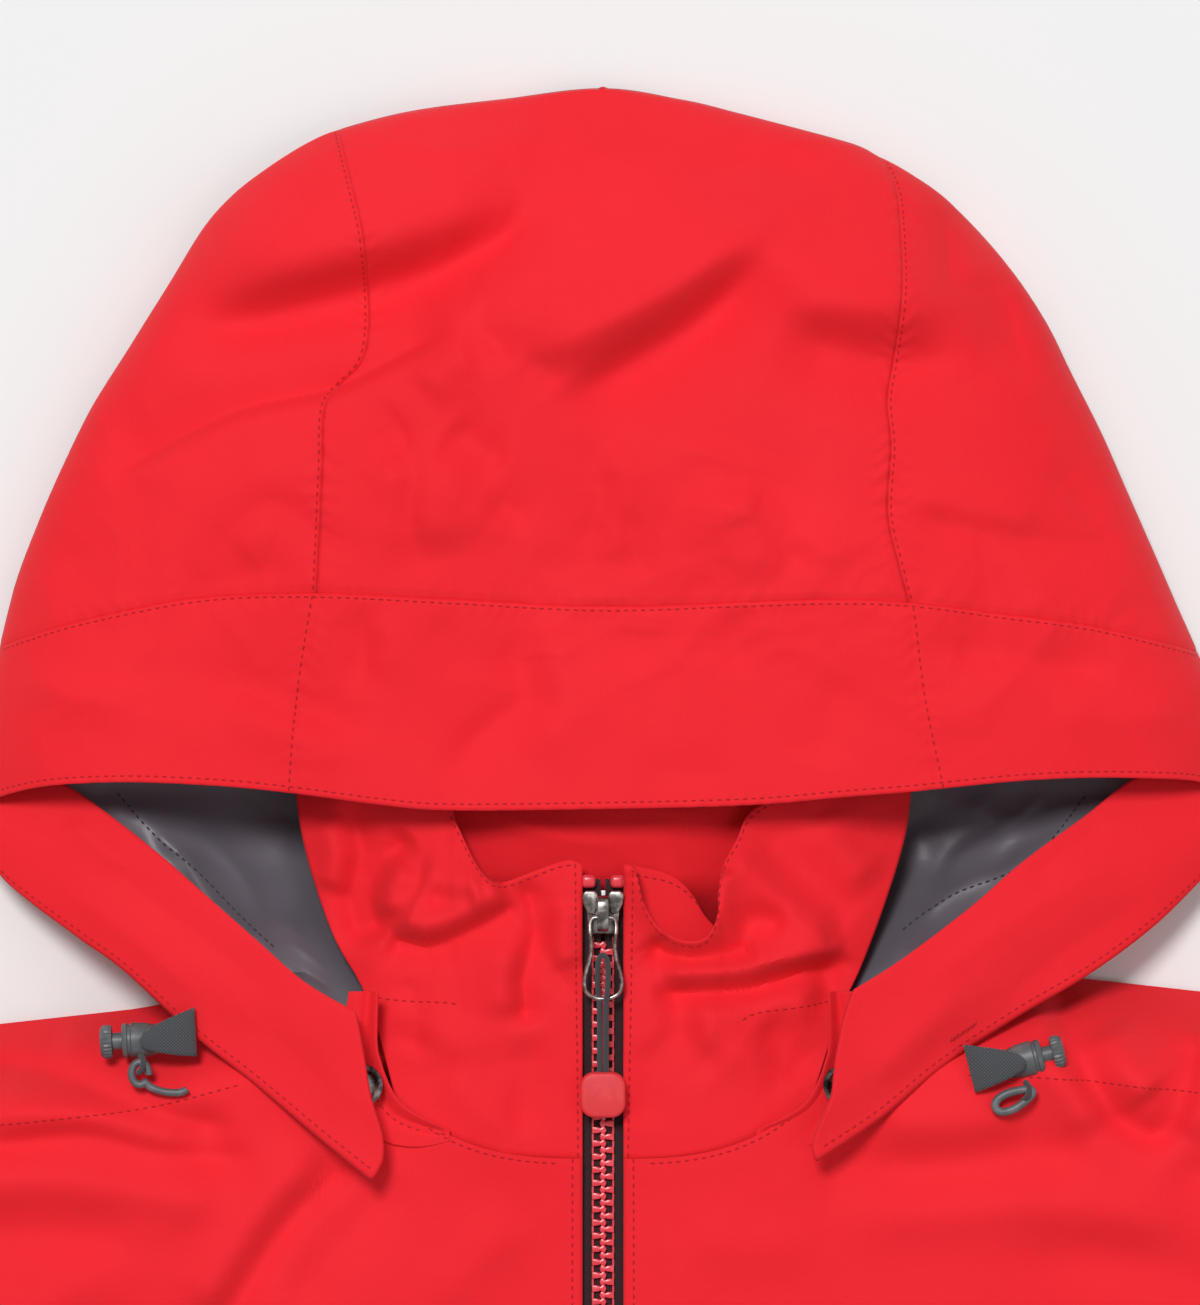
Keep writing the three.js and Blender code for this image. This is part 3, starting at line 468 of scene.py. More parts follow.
# The hood's folds, all panels together, so that a fold runs on across a seam.
HOOD_FOLDS = (
    Fold(((-118, 240), (-85, 248), (-55, 256), (-30, 268), (-14, 278)), 5, 18, 2, 0.2, 0.3),
    Fold(((-128, 219), (-90, 224), (-66, 229), (-40, 238), (-6, 258)), -4, 13, 2, 0.1, 0.35),
    Fold(((-148, 168), (-120, 188), (-92, 198), (-66, 207), (-40, 222), (-26, 232)), -3.6, 15, 2, 0.3, 0.2),
    Fold(((-28, 207), (-4, 219), (18, 234), (38, 250), (62, 264)), 4.4, 16, 2, 0.3, 0.3),
    Fold(((-10, 194), (12, 209), (32, 224), (50, 240)), -3.2, 12, 2, 0, 0.35),
    Fold(((30, 246), (56, 240), (76, 238), (100, 240)), 3.2, 15, 2, 0, 0.35),
    Fold(((34, 216), (60, 213), (82, 210), (112, 208)), -3.4, 14, 2, 0, 0.35),
    Fold(((98, 262), (102, 244), (106, 226), (108, 206)), -4, 8, 2, 0, 0.25),
    Fold(((-56, 192), (-46, 176), (-42, 160)), 3.6, 10, 2),
    Fold(((20, 178), (36, 170), (50, 158)), 3, 10, 2),
    Fold(
        ((-124, 219), (-97, 225), (-74.6, 230.6), (-55.3, 235.7), (-36, 242.8), (-20, 252), (-4, 260)),
        -7.7, 9, 1.8, -0.08, 0.25
    ),
    Fold(((-112, 232), (-75, 240), (-50, 247), (-30, 256), (-12, 266)), 5.9, 11, 1.9, 0.24, 0.3),
    Fold(
        ((-136, 181), (-116.3, 192), (-97, 201), (-74.6, 206), (-65, 210), (-45.7, 219.7), (-37, 223)),
        -5.7, 8, 1.5, 0.75, 0.15
    ),
    Fold(((-40, 223), (-32.9, 221.9), (-26, 215.5), (-22, 211)), -2.5, 6.2, 1.5, 0.4, 0.4),
    Fold(((-50, 205), (-42, 212), (-33, 216)), 2.6, 6, 1.7),
    Fold(((-27, 212), (-7.2, 220.5), (12, 229.5), (31.3, 241.2), (49, 256)), 4.8, 9.5, 1.8, 0.32, 0.25),
    Fold(((-14, 198), (5.6, 212.3), (21.7, 221.9), (34.5, 232.5), (46, 245)), -5.1, 6.6, 1.8, -0.16, 0.3),
    Fold(((-25, 214), (-16, 212), (-10, 206)), -1.9, 5.3, 1.6, 0, 0.4),
    Fold(((42, 230), (60, 229), (78, 228), (98, 229)), 3.7, 8, 1.9, 0.16, 0.3),
    Fold(((44, 222), (60, 217), (76.2, 214), (100, 213)), -4, 8, 1.9, -0.16, 0.3),
    Fold(((90, 258), (92.2, 250), (93.5, 240), (92, 228)), -2.5, 5.3, 1.6, 0.16, 0.4),
    Fold(((97, 256), (99, 244), (100, 232)), 2.4, 6.5, 1.7),
    Fold(((105, 238), (109, 228), (113, 214), (112, 202)), -2.3, 6.2, 1.6, 0.16, 0.4),
    Fold(((76, 205), (87, 209), (101, 211)), 1.6, 5.3, 1.4, 0, 0.4),
    Fold(((77.8, 174.5), (95.5, 169.5), (111.5, 166), (128, 164.8), (140, 166)), -2, 5.6, 1.6, -0.24, 0.25),
    Fold(((78, 179), (98, 174), (122, 171)), 1.7, 6.5, 1.6, 0, 0.25),
    Fold(
        ((-63, 203), (-55.3, 197.9), (-50.5, 181.8), (-52.1, 172.2), (-46, 153)), -2.6, 5.6, 1.6, -0.2, 0.25
    ),
    Fold(((-62, 197), (-56.5, 182), (-57.5, 170), (-54, 156)), 2.2, 6.6, 1.6, 0, 0.4),
    Fold(((-42, 197), (-33, 189.8), (-24, 187)), -2.4, 6.5, 1.7),
    Fold(((-44, 190), (-38, 180), (-34, 170)), 1.3, 7, 1.7, 0, 0.4),
    Fold(((-32, 178), (-25, 174), (-18, 169.5)), -1.7, 5.3, 1.4, 0, 0.4),
    Fold(((-38, 176), (-30, 170), (-22, 164)), 1.3, 5.3, 1.5, 0, 0.4),
    Fold(((-8, 196), (-3.4, 188.2), (-0.4, 178.6), (-4, 165.8), (-4, 152)), -1.9, 5.3, 1.5, 0.16, 0.4),
    Fold(((0, 192), (6, 182), (4, 170), (4, 158)), 1.7, 6, 1.7, 0, 0.25),
    Fold(((4, 178), (8.8, 163), (14.5, 151)), -1.6, 5.3, 1.5, 0, 0.4),
    Fold(((14, 192.5), (31.3, 187.6), (50, 182)), 1.7, 5.3, 1.4, 0.32, 0.4),
    Fold(((14, 196), (31.3, 191.6), (50, 186)), -1.3, 6.2, 1.6, 0, 0.4),
    Fold(
        ((31.3, 168), (27.5, 174), (31.5, 180.5), (43, 182), (50.5, 175.4), (65, 171.5)), -1.6, 6.6, 1.7,
        0.16, 0.4
    ),
    Fold(((36, 168), (36, 174), (43, 176)), 1.6, 5.3, 1.6, 0, 0.4),
    Fold(((40, 172), (46, 165), (58, 155)), -1.7, 5.3, 1.4, 0.16, 0.4),
    Fold(((50, 170), (58, 163), (68, 158)), 1.3, 5.3, 1.6, 0, 0.4),
    Fold(
        ((-108, 158), (-104, 163), (-97, 170.6), (-89, 175.4), (-82, 173), (-74, 166), (-60, 163)), -1.8, 6,
        1.7, -0.24, 0.3
    ),
    Fold(((-100, 162), (-93, 167), (-86, 166)), 1.6, 7, 1.7, 0, 0.4),
    Fold(((-118, 151), (-95, 156), (-78, 160)), -1.7, 6.5, 1.7),
    Fold(((-65, 150), (-63.4, 137), (-65.6, 122)), -2.3, 5.3, 1.4, -0.16, 0.4),
    Fold(((-59, 149), (-57, 137), (-59, 124)), 1.5, 6.2, 1.6, 0, 0.4),
    Fold(((-112, 131), (-100, 128), (-84.2, 122), (-58, 113)), -2.4, 6.6, 1.7, 0.28, 0.3),
    Fold(((-104, 120), (-84, 115), (-66, 107)), 1.5, 6.5, 1.8),
    Fold(((-19, 147), (-23.3, 134), (-20, 124), (-32.9, 113), (-44, 98)), -2.8, 7, 1.8, 0.24, 0.3),
    Fold(((-10, 146), (-12, 132), (-10, 120), (-22, 106)), 1.9, 8, 1.8),
    Fold(((-46, 148), (-40, 136), (-38, 126)), -1.2, 6.2, 1.7, 0, 0.4),
    Fold(((14, 148), (13, 139)), 1, 5.3, 1.5, 0, 0.4),
    Fold(((32, 146), (35, 138), (33, 129)), -1.6, 5.3, 1.5, 0, 0.4),
    Fold(((5, 106), (20, 103), (40, 104)), -1.2, 6.2, 1.7, 0, 0.4),
    Fold(((86, 139), (111.5, 133.7), (140, 130)), -2.4, 5.8, 1.7, 0.24, 0.25),
    Fold(((118, 122), (136, 118), (160, 119)), 1.7, 6.5, 1.7),
    Fold(((66, 132), (60, 118), (57, 104)), -1.5, 6.5, 1.8),
    Fold(((-150, 150), (-128, 172), (-112, 182)), -2.4, 8, 1.8),
    Fold(((-160, 130), (-140, 124), (-120, 124)), 2, 6, 1.8),
    Fold(((-52, 268), (-34, 274), (-10, 276)), 2.4, 7, 1.8),
    Fold(((20, 262), (40, 268), (62, 262)), -2, 6, 1.8),
    Fold(((120, 190), (128, 178), (140, 160)), -1.8, 6, 1.8),
)

# The lining's gathers beside both chin bands.
LINING_FOLDS = (
    Fold(((-124, 88), (-113, 80.7), (-106, 69.5), (-96, 61), (-84, 50)), 2.6, 2.6, 1.3, 0.0, 0.15),
    Fold(((-128, 86), (-117, 77), (-109, 67), (-98, 57)), -2.2, 3.4, 1.5),
    Fold(((-130, 94), (-118, 87), (-106.7, 84), (-97, 74.3), (-93, 61.5)), 2.2, 4.5, 1.3, 0.4, 0.2),
    Fold(((-112, 92), (-101, 84), (-93, 74), (-88, 62)), -1.8, 6.0, 1.8, 0, 0.25),
    Fold(((-90, 54), (-82, 56), (-75, 50)), 1.5, 2.4, 1.3, 0.3),
    Fold(((-88, 48), (-80, 50), (-72, 44)), 1.5, 2.2, 1.3, 0.3),
    Fold(((-96, 58), (-88, 62), (-80, 60)), 1.3, 2.6, 1.3, 0.3),
    Fold(((-135, 97), (-128, 92), (-121, 93)), 1.5, 3, 1.4),
    Fold(((-88, 92), (-86, 80), (-80, 66)), 1.2, 6, 1.8),
    Fold(((86, 70), (92, 78), (99, 84), (112, 90), (126, 95)), -2.6, 3.6, 1.4, 0.3, 0.2),
    Fold(((84, 62), (96, 72), (114.7, 80), (130, 94)), 2.4, 2.8, 1.3, 0, 0.15),
    Fold(((92, 73.5), (98.7, 82.4), (111.5, 90), (122, 99)), 2.0, 3.6, 1.3, -0.4, 0.2),
    Fold(((84, 90), (88, 78), (84, 66)), 1.4, 5, 1.6),
    Fold(((100, 98), (104, 92), (114, 88)), 1.6, 3, 1.3),
    Fold(((76, 58), (84, 54), (92, 60)), 1.3, 2.4, 1.3),
    Fold(((104, 74), (110, 82), (118, 86)), -1.6, 2.6, 1.4),
)


# ------------------------------------------------------------------ finishes


class Nodes:
    """A short way to build one material's nodes."""

    def __init__(self, name: str) -> None:
        """Starts a material that holds only a Principled shader.

        Args:
            name: the material's name.
        """
        self.material = bpy.data.materials.new(name)
        self.material.use_nodes = True
        self.tree = self.material.node_tree
        self.shader = self.tree.nodes["Principled BSDF"]
        self.place = self.add("ShaderNodeTexCoord").outputs["Object"]

    def add(self, kind: str, **values: object) -> bpy.types.Node:
        """A new node, with the given properties set.

        Args:
            kind: the node's type.
            values: the properties to set.

        Returns:
            The node.
        """
        node = self.tree.nodes.new(kind)
        for key, value in values.items():
            setattr(node, key, value)
        return node

    def link(self, source: Socket, target: Socket) -> None:
        """Joins two sockets."""
        self.tree.links.new(source, target)

    def moved(self, scale: Sequence[float] = (1, 1, 1), turn: Sequence[float] = (0, 0, 0)) -> Socket:
        """The object's own coordinates, scaled and turned.

        Args:
            scale: how far each axis is stretched.
            turn: the turn about each axis, in radians.

        Returns:
            The socket that carries it.
        """
        node = self.add("ShaderNodeMapping")
        node.inputs["Scale"].default_value = scale
        node.inputs["Rotation"].default_value = turn
        self.link(self.place, node.inputs["Vector"])
        return node.outputs[0]

    def noise(self, scale: float, detail: float = 3.0, vector: Socket | None = None) -> Socket:
        """A noise pattern's value.

        Args:
            scale: how fine the pattern is.
            detail: how many finer layers it has.
            vector: the coordinates it is laid on.

        Returns:
            The socket that carries it.
        """
        node = self.add("ShaderNodeTexNoise")
        node.inputs["Scale"].default_value = scale
        node.inputs["Detail"].default_value = detail
        self.link(vector or self.place, node.inputs["Vector"])
        return node.outputs["Fac"]

    def wave(self, scale: float, direction: str, vector: Socket | None = None) -> Socket:
        """A row of parallel threads.

        Args:
            scale: how fine the pattern is.
            direction: the axis the threads run across.
            vector: the coordinates it is laid on.

        Returns:
            The socket that carries it.
        """
        node = self.add("ShaderNodeTexWave", wave_type="BANDS", bands_direction=direction)
        node.inputs["Scale"].default_value = scale
        node.inputs["Distortion"].default_value = 0.6
        node.inputs["Detail"].default_value = 1.0
        self.link(vector or self.place, node.inputs["Vector"])
        return node.outputs["Fac"]

    def mix(self, factor: Socket, a: Sequence[float], b: Sequence[float]) -> Socket:
        """A colour between a and b by a pattern.

        Args:
            factor: the pattern.
            a: the colour at 0.
            b: the colour at 1.

        Returns:
            The socket that carries it.
        """
        node = self.add("ShaderNodeMix", data_type="RGBA")
        node.inputs[6].default_value = (*a, 1)
        node.inputs[7].default_value = (*b, 1)
        self.link(factor, node.inputs[0])
        return node.outputs[2]

    def maths(self, kind: str, a: Socket, b: Socket | float) -> Socket:
        """A sum on patterns.

        Args:
            kind: the operation.
            a: the first pattern.
            b: the second pattern or a number.

        Returns:
            The socket that carries it.
        """
        node = self.add("ShaderNodeMath", operation=kind)
        self.link(a, node.inputs[0])
        if isinstance(b, float):
            node.inputs[1].default_value = b
        else:
            self.link(b, node.inputs[1])
        return node.outputs[0]

    def ramp(self, value: Socket, low: float, high: float) -> Socket:
        """A pattern stretched so that low is 0 and high is 1.

        Args:
            value: the pattern.
            low: the value that becomes 0.
            high: the value that becomes 1.

        Returns:
            The socket that carries it.
        """
        node = self.add("ShaderNodeMapRange")
        node.inputs["From Min"].default_value = low
        node.inputs["From Max"].default_value = high
        self.link(value, node.inputs["Value"])
        return node.outputs[0]

    def bump(self, height: Socket, strength: float, distance: float) -> None:
        """Raises the surface by a pattern, on top of what is there already.

        Args:
            height: the pattern that raises it.
            strength: how strongly it shows.
            distance: how far it rises, in metres.
        """
        node = self.add("ShaderNodeBump")
        node.inputs["Strength"].default_value = strength
        node.inputs["Distance"].default_value = distance
        self.link(height, node.inputs["Height"])
        socket = self.shader.inputs["Normal"]
        if socket.is_linked:
            self.link(socket.links[0].from_socket, node.inputs["Normal"])
        self.link(node.outputs[0], socket)

    def set(self, **values: float) -> None:
        """Sets plain values on the shader, by name with _ for a space."""
        for key, value in values.items():
            self.shader.inputs[key.replace("_", " ")].default_value = value


@dataclass(frozen=True)
class Woven:
    """A plain woven cloth: fine crossing threads, a slow change of tone and a soft sheen."""

    name: str
    slot: str
    base: Colour
    other: Colour
    roughness: float = 0.72
    sheen: float = 0.04
    threads: float = 620.0
    relief: float = 0.12
    puckers: float = 0.25

    def make(self) -> bpy.types.Material:
        """Builds the material.

        Returns:
            The material.
        """
        n = Nodes(self.name)
        slow = n.noise(14, 4)
        grain = n.noise(1500, 2)
        tone = n.maths("ADD", n.maths("MULTIPLY", slow, 0.75), n.maths("MULTIPLY", grain, 0.25))
        n.link(n.mix(n.ramp(tone, 0.3, 0.7), self.base, self.other), n.shader.inputs["Base Color"])
        weave = n.maths("MULTIPLY", n.wave(self.threads, "X"), n.wave(self.threads, "Y"))
        n.bump(n.noise(160, 5), self.puckers, 0.0006)
        n.bump(weave, self.relief, 0.0002)
        n.bump(grain, self.relief, 0.00025)
        rough = n.ramp(n.noise(60, 3), 0.2, 0.8)
        spread = n.add("ShaderNodeMapRange")
        spread.inputs["To Min"].default_value = self.roughness - 0.06
        spread.inputs["To Max"].default_value = self.roughness + 0.06
        n.link(rough, spread.inputs["Value"])
        n.link(spread.outputs[0], n.shader.inputs["Roughness"])
        n.set(Sheen_Weight=self.sheen, Sheen_Roughness=0.45, Specular_IOR_Level=0.1)
        return n.material


@dataclass(frozen=True)
class Satin:
    """A smooth lining with long soft streaks of light."""

    name: str
    slot: str
    base: Colour
    other: Colour

    def make(self) -> bpy.types.Material:
        """Builds the material.

        Returns:
            The material.
        """
        n = Nodes(self.name)
        streak = n.noise(300, 3, n.moved((1.0, 0.12, 1.0), (0, 0, 0.6)))
        n.link(n.mix(n.ramp(n.noise(22, 4), 0.3, 0.7), self.base, self.other), n.shader.inputs["Base Color"])
        n.bump(n.noise(90, 4), 0.35, 0.0008)
        n.bump(streak, 0.12, 0.0003)
        n.bump(n.maths("MULTIPLY", n.wave(900, "X"), n.wave(900, "Y")), 0.06, 0.0001)
        n.set(Roughness=0.42, Specular_IOR_Level=0.4, Sheen_Weight=0.15, Sheen_Roughness=0.3)
        return n.material


@dataclass(frozen=True)
class Moulded:
    """Moulded plastic or rubber: a fine grain, slight wear to a lighter tone and a soft gloss."""

    name: str
    slot: str
    base: Colour
    worn: Colour
    roughness: float = 0.4
    grain: float = 0.15
    coat: float = 0.0

    def make(self) -> bpy.types.Material:
        """Builds the material.

        Returns:
            The material.
        """
        n = Nodes(self.name)
        wear = n.ramp(n.noise(220, 6), 0.52, 0.75)
        n.link(n.mix(wear, self.base, self.worn), n.shader.inputs["Base Color"])
        n.bump(n.noise(2600, 3), self.grain, 0.00012)
        n.bump(n.noise(350, 3), 0.06, 0.0003)
        n.set(Roughness=self.roughness, Specular_IOR_Level=0.45, Coat_Weight=self.coat, Coat_Roughness=0.2)
        return n.material


@dataclass(frozen=True)
class Plated:
    """Dark nickel plating, rubbed bright in places."""

    name: str
    slot: str
    base: Colour
    bright: Colour

    def make(self) -> bpy.types.Material:
        """Builds the material.

        Returns:
            The material.
        """
        n = Nodes(self.name)
        rub = n.ramp(n.noise(380, 5), 0.42, 0.66)
        n.link(n.mix(rub, self.base, self.bright), n.shader.inputs["Base Color"])
        rough = n.add("ShaderNodeMapRange")
        rough.inputs["To Min"].default_value = 0.2
        rough.inputs["To Max"].default_value = 0.42
        n.link(n.noise(700, 4), rough.inputs["Value"])
        n.link(rough.outputs[0], n.shader.inputs["Roughness"])
        n.bump(n.noise(1400, 4), 0.1, 0.0001)
        n.set(Metallic=1.0)
        return n.material


@dataclass(frozen=True)
class Braided:
    """Cord or narrow tape of thick threads laid aslant."""

    name: str
    slot: str
    base: Colour
    other: Colour
    threads: float = 330.0

    def make(self) -> bpy.types.Material:
        """Builds the material.

        Returns:
            The material.
        """
        n = Nodes(self.name)
        one = n.wave(self.threads, "X", n.moved((1, 1, 1), (0, 0, 0.78)))
        two = n.wave(self.threads, "Y", n.moved((1, 1, 1), (0, 0, 0.78)))
        weave = n.maths("MULTIPLY", one, two)
        n.link(n.mix(weave, self.base, self.other), n.shader.inputs["Base Color"])
        n.bump(weave, 0.6, 0.0004)
        n.bump(n.noise(1800, 3), 0.2, 0.0002)
        n.set(Roughness=0.78, Sheen_Weight=0.2, Specular_IOR_Level=0.2)
        return n.material


class Finish(Enum):
    """Every finish on the jacket."""

    SHELL = Woven("Face cloth red", "shell_red", (0.79, 0.0165, 0.0255), (0.845, 0.0205, 0.0315))
    # A darker, duller copy of the face cloth, used for the collar's inside and the storm flap, which lie
    # under other pieces: the darkening is painted shade.
    SHELL_IN = Woven("Face cloth inside", "shell_red", (0.70, 0.013, 0.02), (0.78, 0.016, 0.026), 0.8, 0.03)
    # The red thread is painted about half as bright as the cloth: its own red plus painted shade of the
    # stitch holes.
    THREAD = Woven(
        "Red thread", "shell_red", (0.44, 0.008, 0.014), (0.52, 0.011, 0.019), 0.6, 0.1, 2400.0, 0.3
    )
    LINING = Satin("Grey lining satin", "lining", (0.098, 0.086, 0.106), (0.135, 0.120, 0.145))
    LINING_THREAD = Woven(
        "Grey thread", "lining", (0.04, 0.034, 0.046), (0.055, 0.048, 0.06), 0.7, 0.1, 2400.0, 0.3
    )
    TAPE = Braided("Zip tape", "zip_tape", (0.030, 0.012, 0.016), (0.062, 0.026, 0.032), 520.0)
    TEETH = Moulded(
        "Moulded teeth red", "zip_teeth", (0.74, 0.038, 0.058), (0.84, 0.085, 0.12), 0.3, 0.05, 0.3
    )
    NICKEL = Plated("Antique nickel", "metal", (0.15, 0.13, 0.122), (0.55, 0.51, 0.48))
    GUNMETAL = Plated("Dark snap metal", "metal", (0.035, 0.03, 0.03), (0.30, 0.28, 0.27))
    GRIP = Moulded("Soft grip red", "grip", (0.70, 0.028, 0.036), (0.78, 0.045, 0.055), 0.5, 0.35)
    CORD = Braided("Grey cord", "cord", (0.045, 0.043, 0.05), (0.11, 0.105, 0.115), 900.0)
    WEBBING = Braided("Grey webbing", "trim", (0.05, 0.055, 0.062), (0.13, 0.135, 0.145), 480.0)
    TRIM = Moulded("Grey moulded trim", "trim", (0.095, 0.10, 0.108), (0.15, 0.155, 0.165), 0.42, 0.2)

    def material(self) -> bpy.types.Material:
        """This finish's material, built once."""
        return bpy.data.materials.get(self.value.name) or self.value.make()


# ------------------------------------------------------------------ making pieces


def finished(bm: bmesh.types.BMesh, name: str, *finishes: Finish, shade: bool = True) -> bpy.types.Object:
    """Turns a bmesh into an object at the origin with its finishes.

    Args:
        bm: the shape, in the frame's metres. It is freed.
        name: the piece's name.
        finishes: one for each material index.
        shade: smooth shading, with edges over 40 degrees kept sharp.

    Returns:
        The new object.
    """
    mesh = bpy.data.meshes.new(name)
    if shade:
        for f in bm.faces:
            f.smooth = True
        for e in bm.edges:
            e.smooth = len(e.link_faces) != 2 or e.calc_face_angle(0) < math.radians(40)
    bm.to_mesh(mesh)
    bm.free()
    piece = bpy.data.objects.new(name, mesh)
    bpy.context.scene.collection.objects.link(piece)
    for f in finishes:
        mesh.materials.append(f.material())
    return piece


@dataclass
class Cloth:
    """One cut panel of cloth, laid out by a function of two shares."""

    name: str
    place: Place
    across: int
    along: int
    finish: Finish = Finish.SHELL
    relief: Relief = field(default_factory=Relief)
    thickness: float = 0.55

    def build(
        self, body: str = "jacket", replaces: Sequence[str] = (), held: str = "laid"
    ) -> bpy.types.Object:
        """Args:
            body: the frame's body it rides on.
            replaces: the CAD nodes it stands for.
            held: not used.

        Returns:
            The panel.
        """
        bm = bmesh.new()
        bmesh.ops.create_grid(bm, x_segments=self.across, y_segments=self.along, size=0.5)
        flat = np.array([v.co[:2] for v in bm.verts])
        u, v = flat[:, 0] + 0.5, flat[:, 1] + 0.5
        x, y, z = self.place(u, v)
        z = np.maximum(z + self.relief.lift(x, y), self.thickness + 0.2)
        for vert, px, py, pz in zip(bm.verts, x, y, z):
            vert.co = at(px, py, pz)
        bm.normal_update()
        if sum(f.normal.z for f in bm.faces) < 0:
            bmesh.ops.reverse_faces(bm, faces=bm.faces[:])
        area = sum(f.calc_area() for f in bm.faces)
        piece = finished(bm, self.name, self.finish)
        wall = piece.modifiers.new("cloth thickness", "SOLIDIFY")
        wall.thickness = self.thickness * MM
        wall.offset = -1
        mount(piece, body, *replaces)
        return piece


@dataclass
class Topstitch:
    """A row of stitches along a line on the cloth."""

    name: str
    rows: list[Places]
    finish: Finish = Finish.THREAD
    pitch: float = 2.3
    length: float = 1.5
    thick: float = 0.26

    def build(self, body: str = "jacket") -> bpy.types.Object:
        """Makes every stitch as a small flattened bead.

        Args:
            body: the frame's body it rides on.

        Returns:
            The stitches as one piece.
        """
        bm = bmesh.new()
        for x, y, z in self.rows:
            p = np.stack([x, y, z], axis=1)
            run = np.concatenate([[0], np.cumsum(np.linalg.norm(np.diff(p, axis=0), axis=1))])
            for k in np.arange(self.pitch / 2, run[-1], self.pitch):
                a, b = (
                    np.array([np.interp(k + s * self.length / 2, run, p[:, i]) for i in range(3)])
                    for s in (-1, 1)
                )
                mid, way = (a + b) / 2, Vector(b - a)
                if way.length < 1e-6:
                    continue
                turn = way.to_track_quat("X", "Z").to_matrix().to_4x4()
                size = Matrix.Diagonal((self.length / 2 * MM, self.thick * MM, self.thick * 0.8 * MM, 1))
                bmesh.ops.create_icosphere(
                    bm, subdivisions=1, radius=1.0, matrix=Matrix.Translation(at(*mid)) @ turn @ size
                )
        piece = finished(bm, self.name, self.finish)
        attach(piece, body)
        return piece


def row_on(place: Place, relief: Relief, u: Array, v: Array, above: float = 0.1) -> Places:
    """A line across a panel's surface, given by its shares, lying a little above the cloth."""
    x, y, z = place(u, v)
    return x, y, z + relief.lift(x, y) + above


def mount(piece: bpy.types.Object, body: str, *nodes: str) -> None:
    """Lets a piece ride on a body of the frame and stand for its nodes there.

    Args:
        piece: the piece.
        body: the frame's body.
        nodes: the CAD nodes it replaces, if any.
    """
    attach(piece, body)
    if nodes:
        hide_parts(*nodes)


def block_of(
    name: str,
    finish: Finish,
    size: tuple[float, float, float],
    centre: Vector,
    bevel: float,
    turn: Matrix | None = None,
    segments: int = 3,
) -> bpy.types.Object:
    """A rounded block of a size in millimetres at a centre in metres.

    Args:
        name: the piece's name.
        finish: its finish.
        size: its size in millimetres.
        centre: its middle, in the frame's metres.
        bevel: how far its edges are rounded.
        turn: how it is turned.
        segments: how finely its edges are rounded.

    Returns:
        The new piece.
    """
    bm = bmesh.new()
    bmesh.ops.create_cube(bm, size=1.0, matrix=Matrix.Diagonal((size[0] * MM, size[1] * MM, size[2] * MM, 1)))
    bmesh.ops.bevel(
        bm, geom=bm.edges[:], offset=bevel * MM, affect="EDGES", segments=segments, profile=0.5, material=-1
    )
    bm.transform(Matrix.Translation(centre) @ (turn or Matrix.Identity(4)))
    return finished(bm, name, finish)


def tube(
    name: str, finish: Finish, path: Sequence[Vector], radius: float, closed: bool = False, sides: int = 4
) -> bpy.types.Object:
    """A round bar or cord along a smooth path, as a mesh.

    Args:
        name: the piece's name.
        finish: its finish.
        path: points in metres.
        radius: in millimetres.
        closed: whether the path is a ring.
        sides: how finely the section is rounded.

    Returns:
        The bar.
    """
    data = bpy.data.curves.new(name, "CURVE")
    data.dimensions = "3D"
    data.bevel_depth = radius * MM
    data.bevel_resolution = sides
    data.use_fill_caps = True
    spline = data.splines.new("POLY")
    spline.points.add(len(path) - 1)
    spline.use_cyclic_u = closed
    for point, p in zip(spline.points, path):
        point.co = (*p, 1)
    holder = bpy.data.objects.new(name + " path", data)
    bpy.context.scene.collection.objects.link(holder)
    bpy.context.view_layer.update()
    mesh = bpy.data.meshes.new_from_object(holder)
    bpy.data.objects.remove(holder)
    bm = bmesh.new()
    bm.from_mesh(mesh)
    bpy.data.meshes.remove(mesh)
    bmesh.ops.remove_doubles(bm, verts=bm.verts[:], dist=1e-7)
    bmesh.ops.recalc_face_normals(bm, faces=bm.faces[:])
    return finished(bm, name, finish)


def turned(profile: Line, axis: tuple[int, int, int], steps: int) -> bmesh.types.BMesh:
    """A shape turned about one of the axes from its profile in the xz plane.

    Args:
        profile: the x and z of each point.
        axis: the direction it turns about.
        steps: how many faces go round.

    Returns:
        The open bmesh.
    """
    bm = bmesh.new()
    verts = [bm.verts.new((x, 0, z)) for x, z in profile]
    line = [*verts, *(bm.edges.new(pair) for pair in zip(verts, verts[1:]))]
    round_ = 2 * math.pi
    bmesh.ops.spin(bm, geom=line, cent=(0, 0, 0), axis=axis, angle=round_, steps=steps, use_merge=True)
    bmesh.ops.remove_doubles(bm, verts=bm.verts[:], dist=1e-4)
    return bm


def corners(geom: Sequence[object]) -> list[bmesh.types.BMVert]:
    """The points among the new geometry of an extrusion."""
    return [g for g in geom if isinstance(g, bmesh.types.BMVert)]


def rounded_line(points: Sequence[Vector], per: int = 6) -> list[Vector]:
    """A smooth path through points, with per steps between neighbours.

    Args:
        points: the points to pass through.
        per: steps between two neighbours.

    Returns:
        The finer path.
    """
    p = [points[0], *points, points[-1]]
    out = []
    for a, b, c, d in zip(p, p[1:], p[2:], p[3:]):
        for k in range(per):
            t = k / per
            out.append(
                0.5 * (
                    2 * b
                    + (c - a) * t
                    + (2 * a - 5 * b + 4 * c - d) * t * t
                    + (3 * b - a - 3 * c + d) * t**3
                )
            )
    return [*out, points[-1]]


# ------------------------------------------------------------------ the body of the jacket


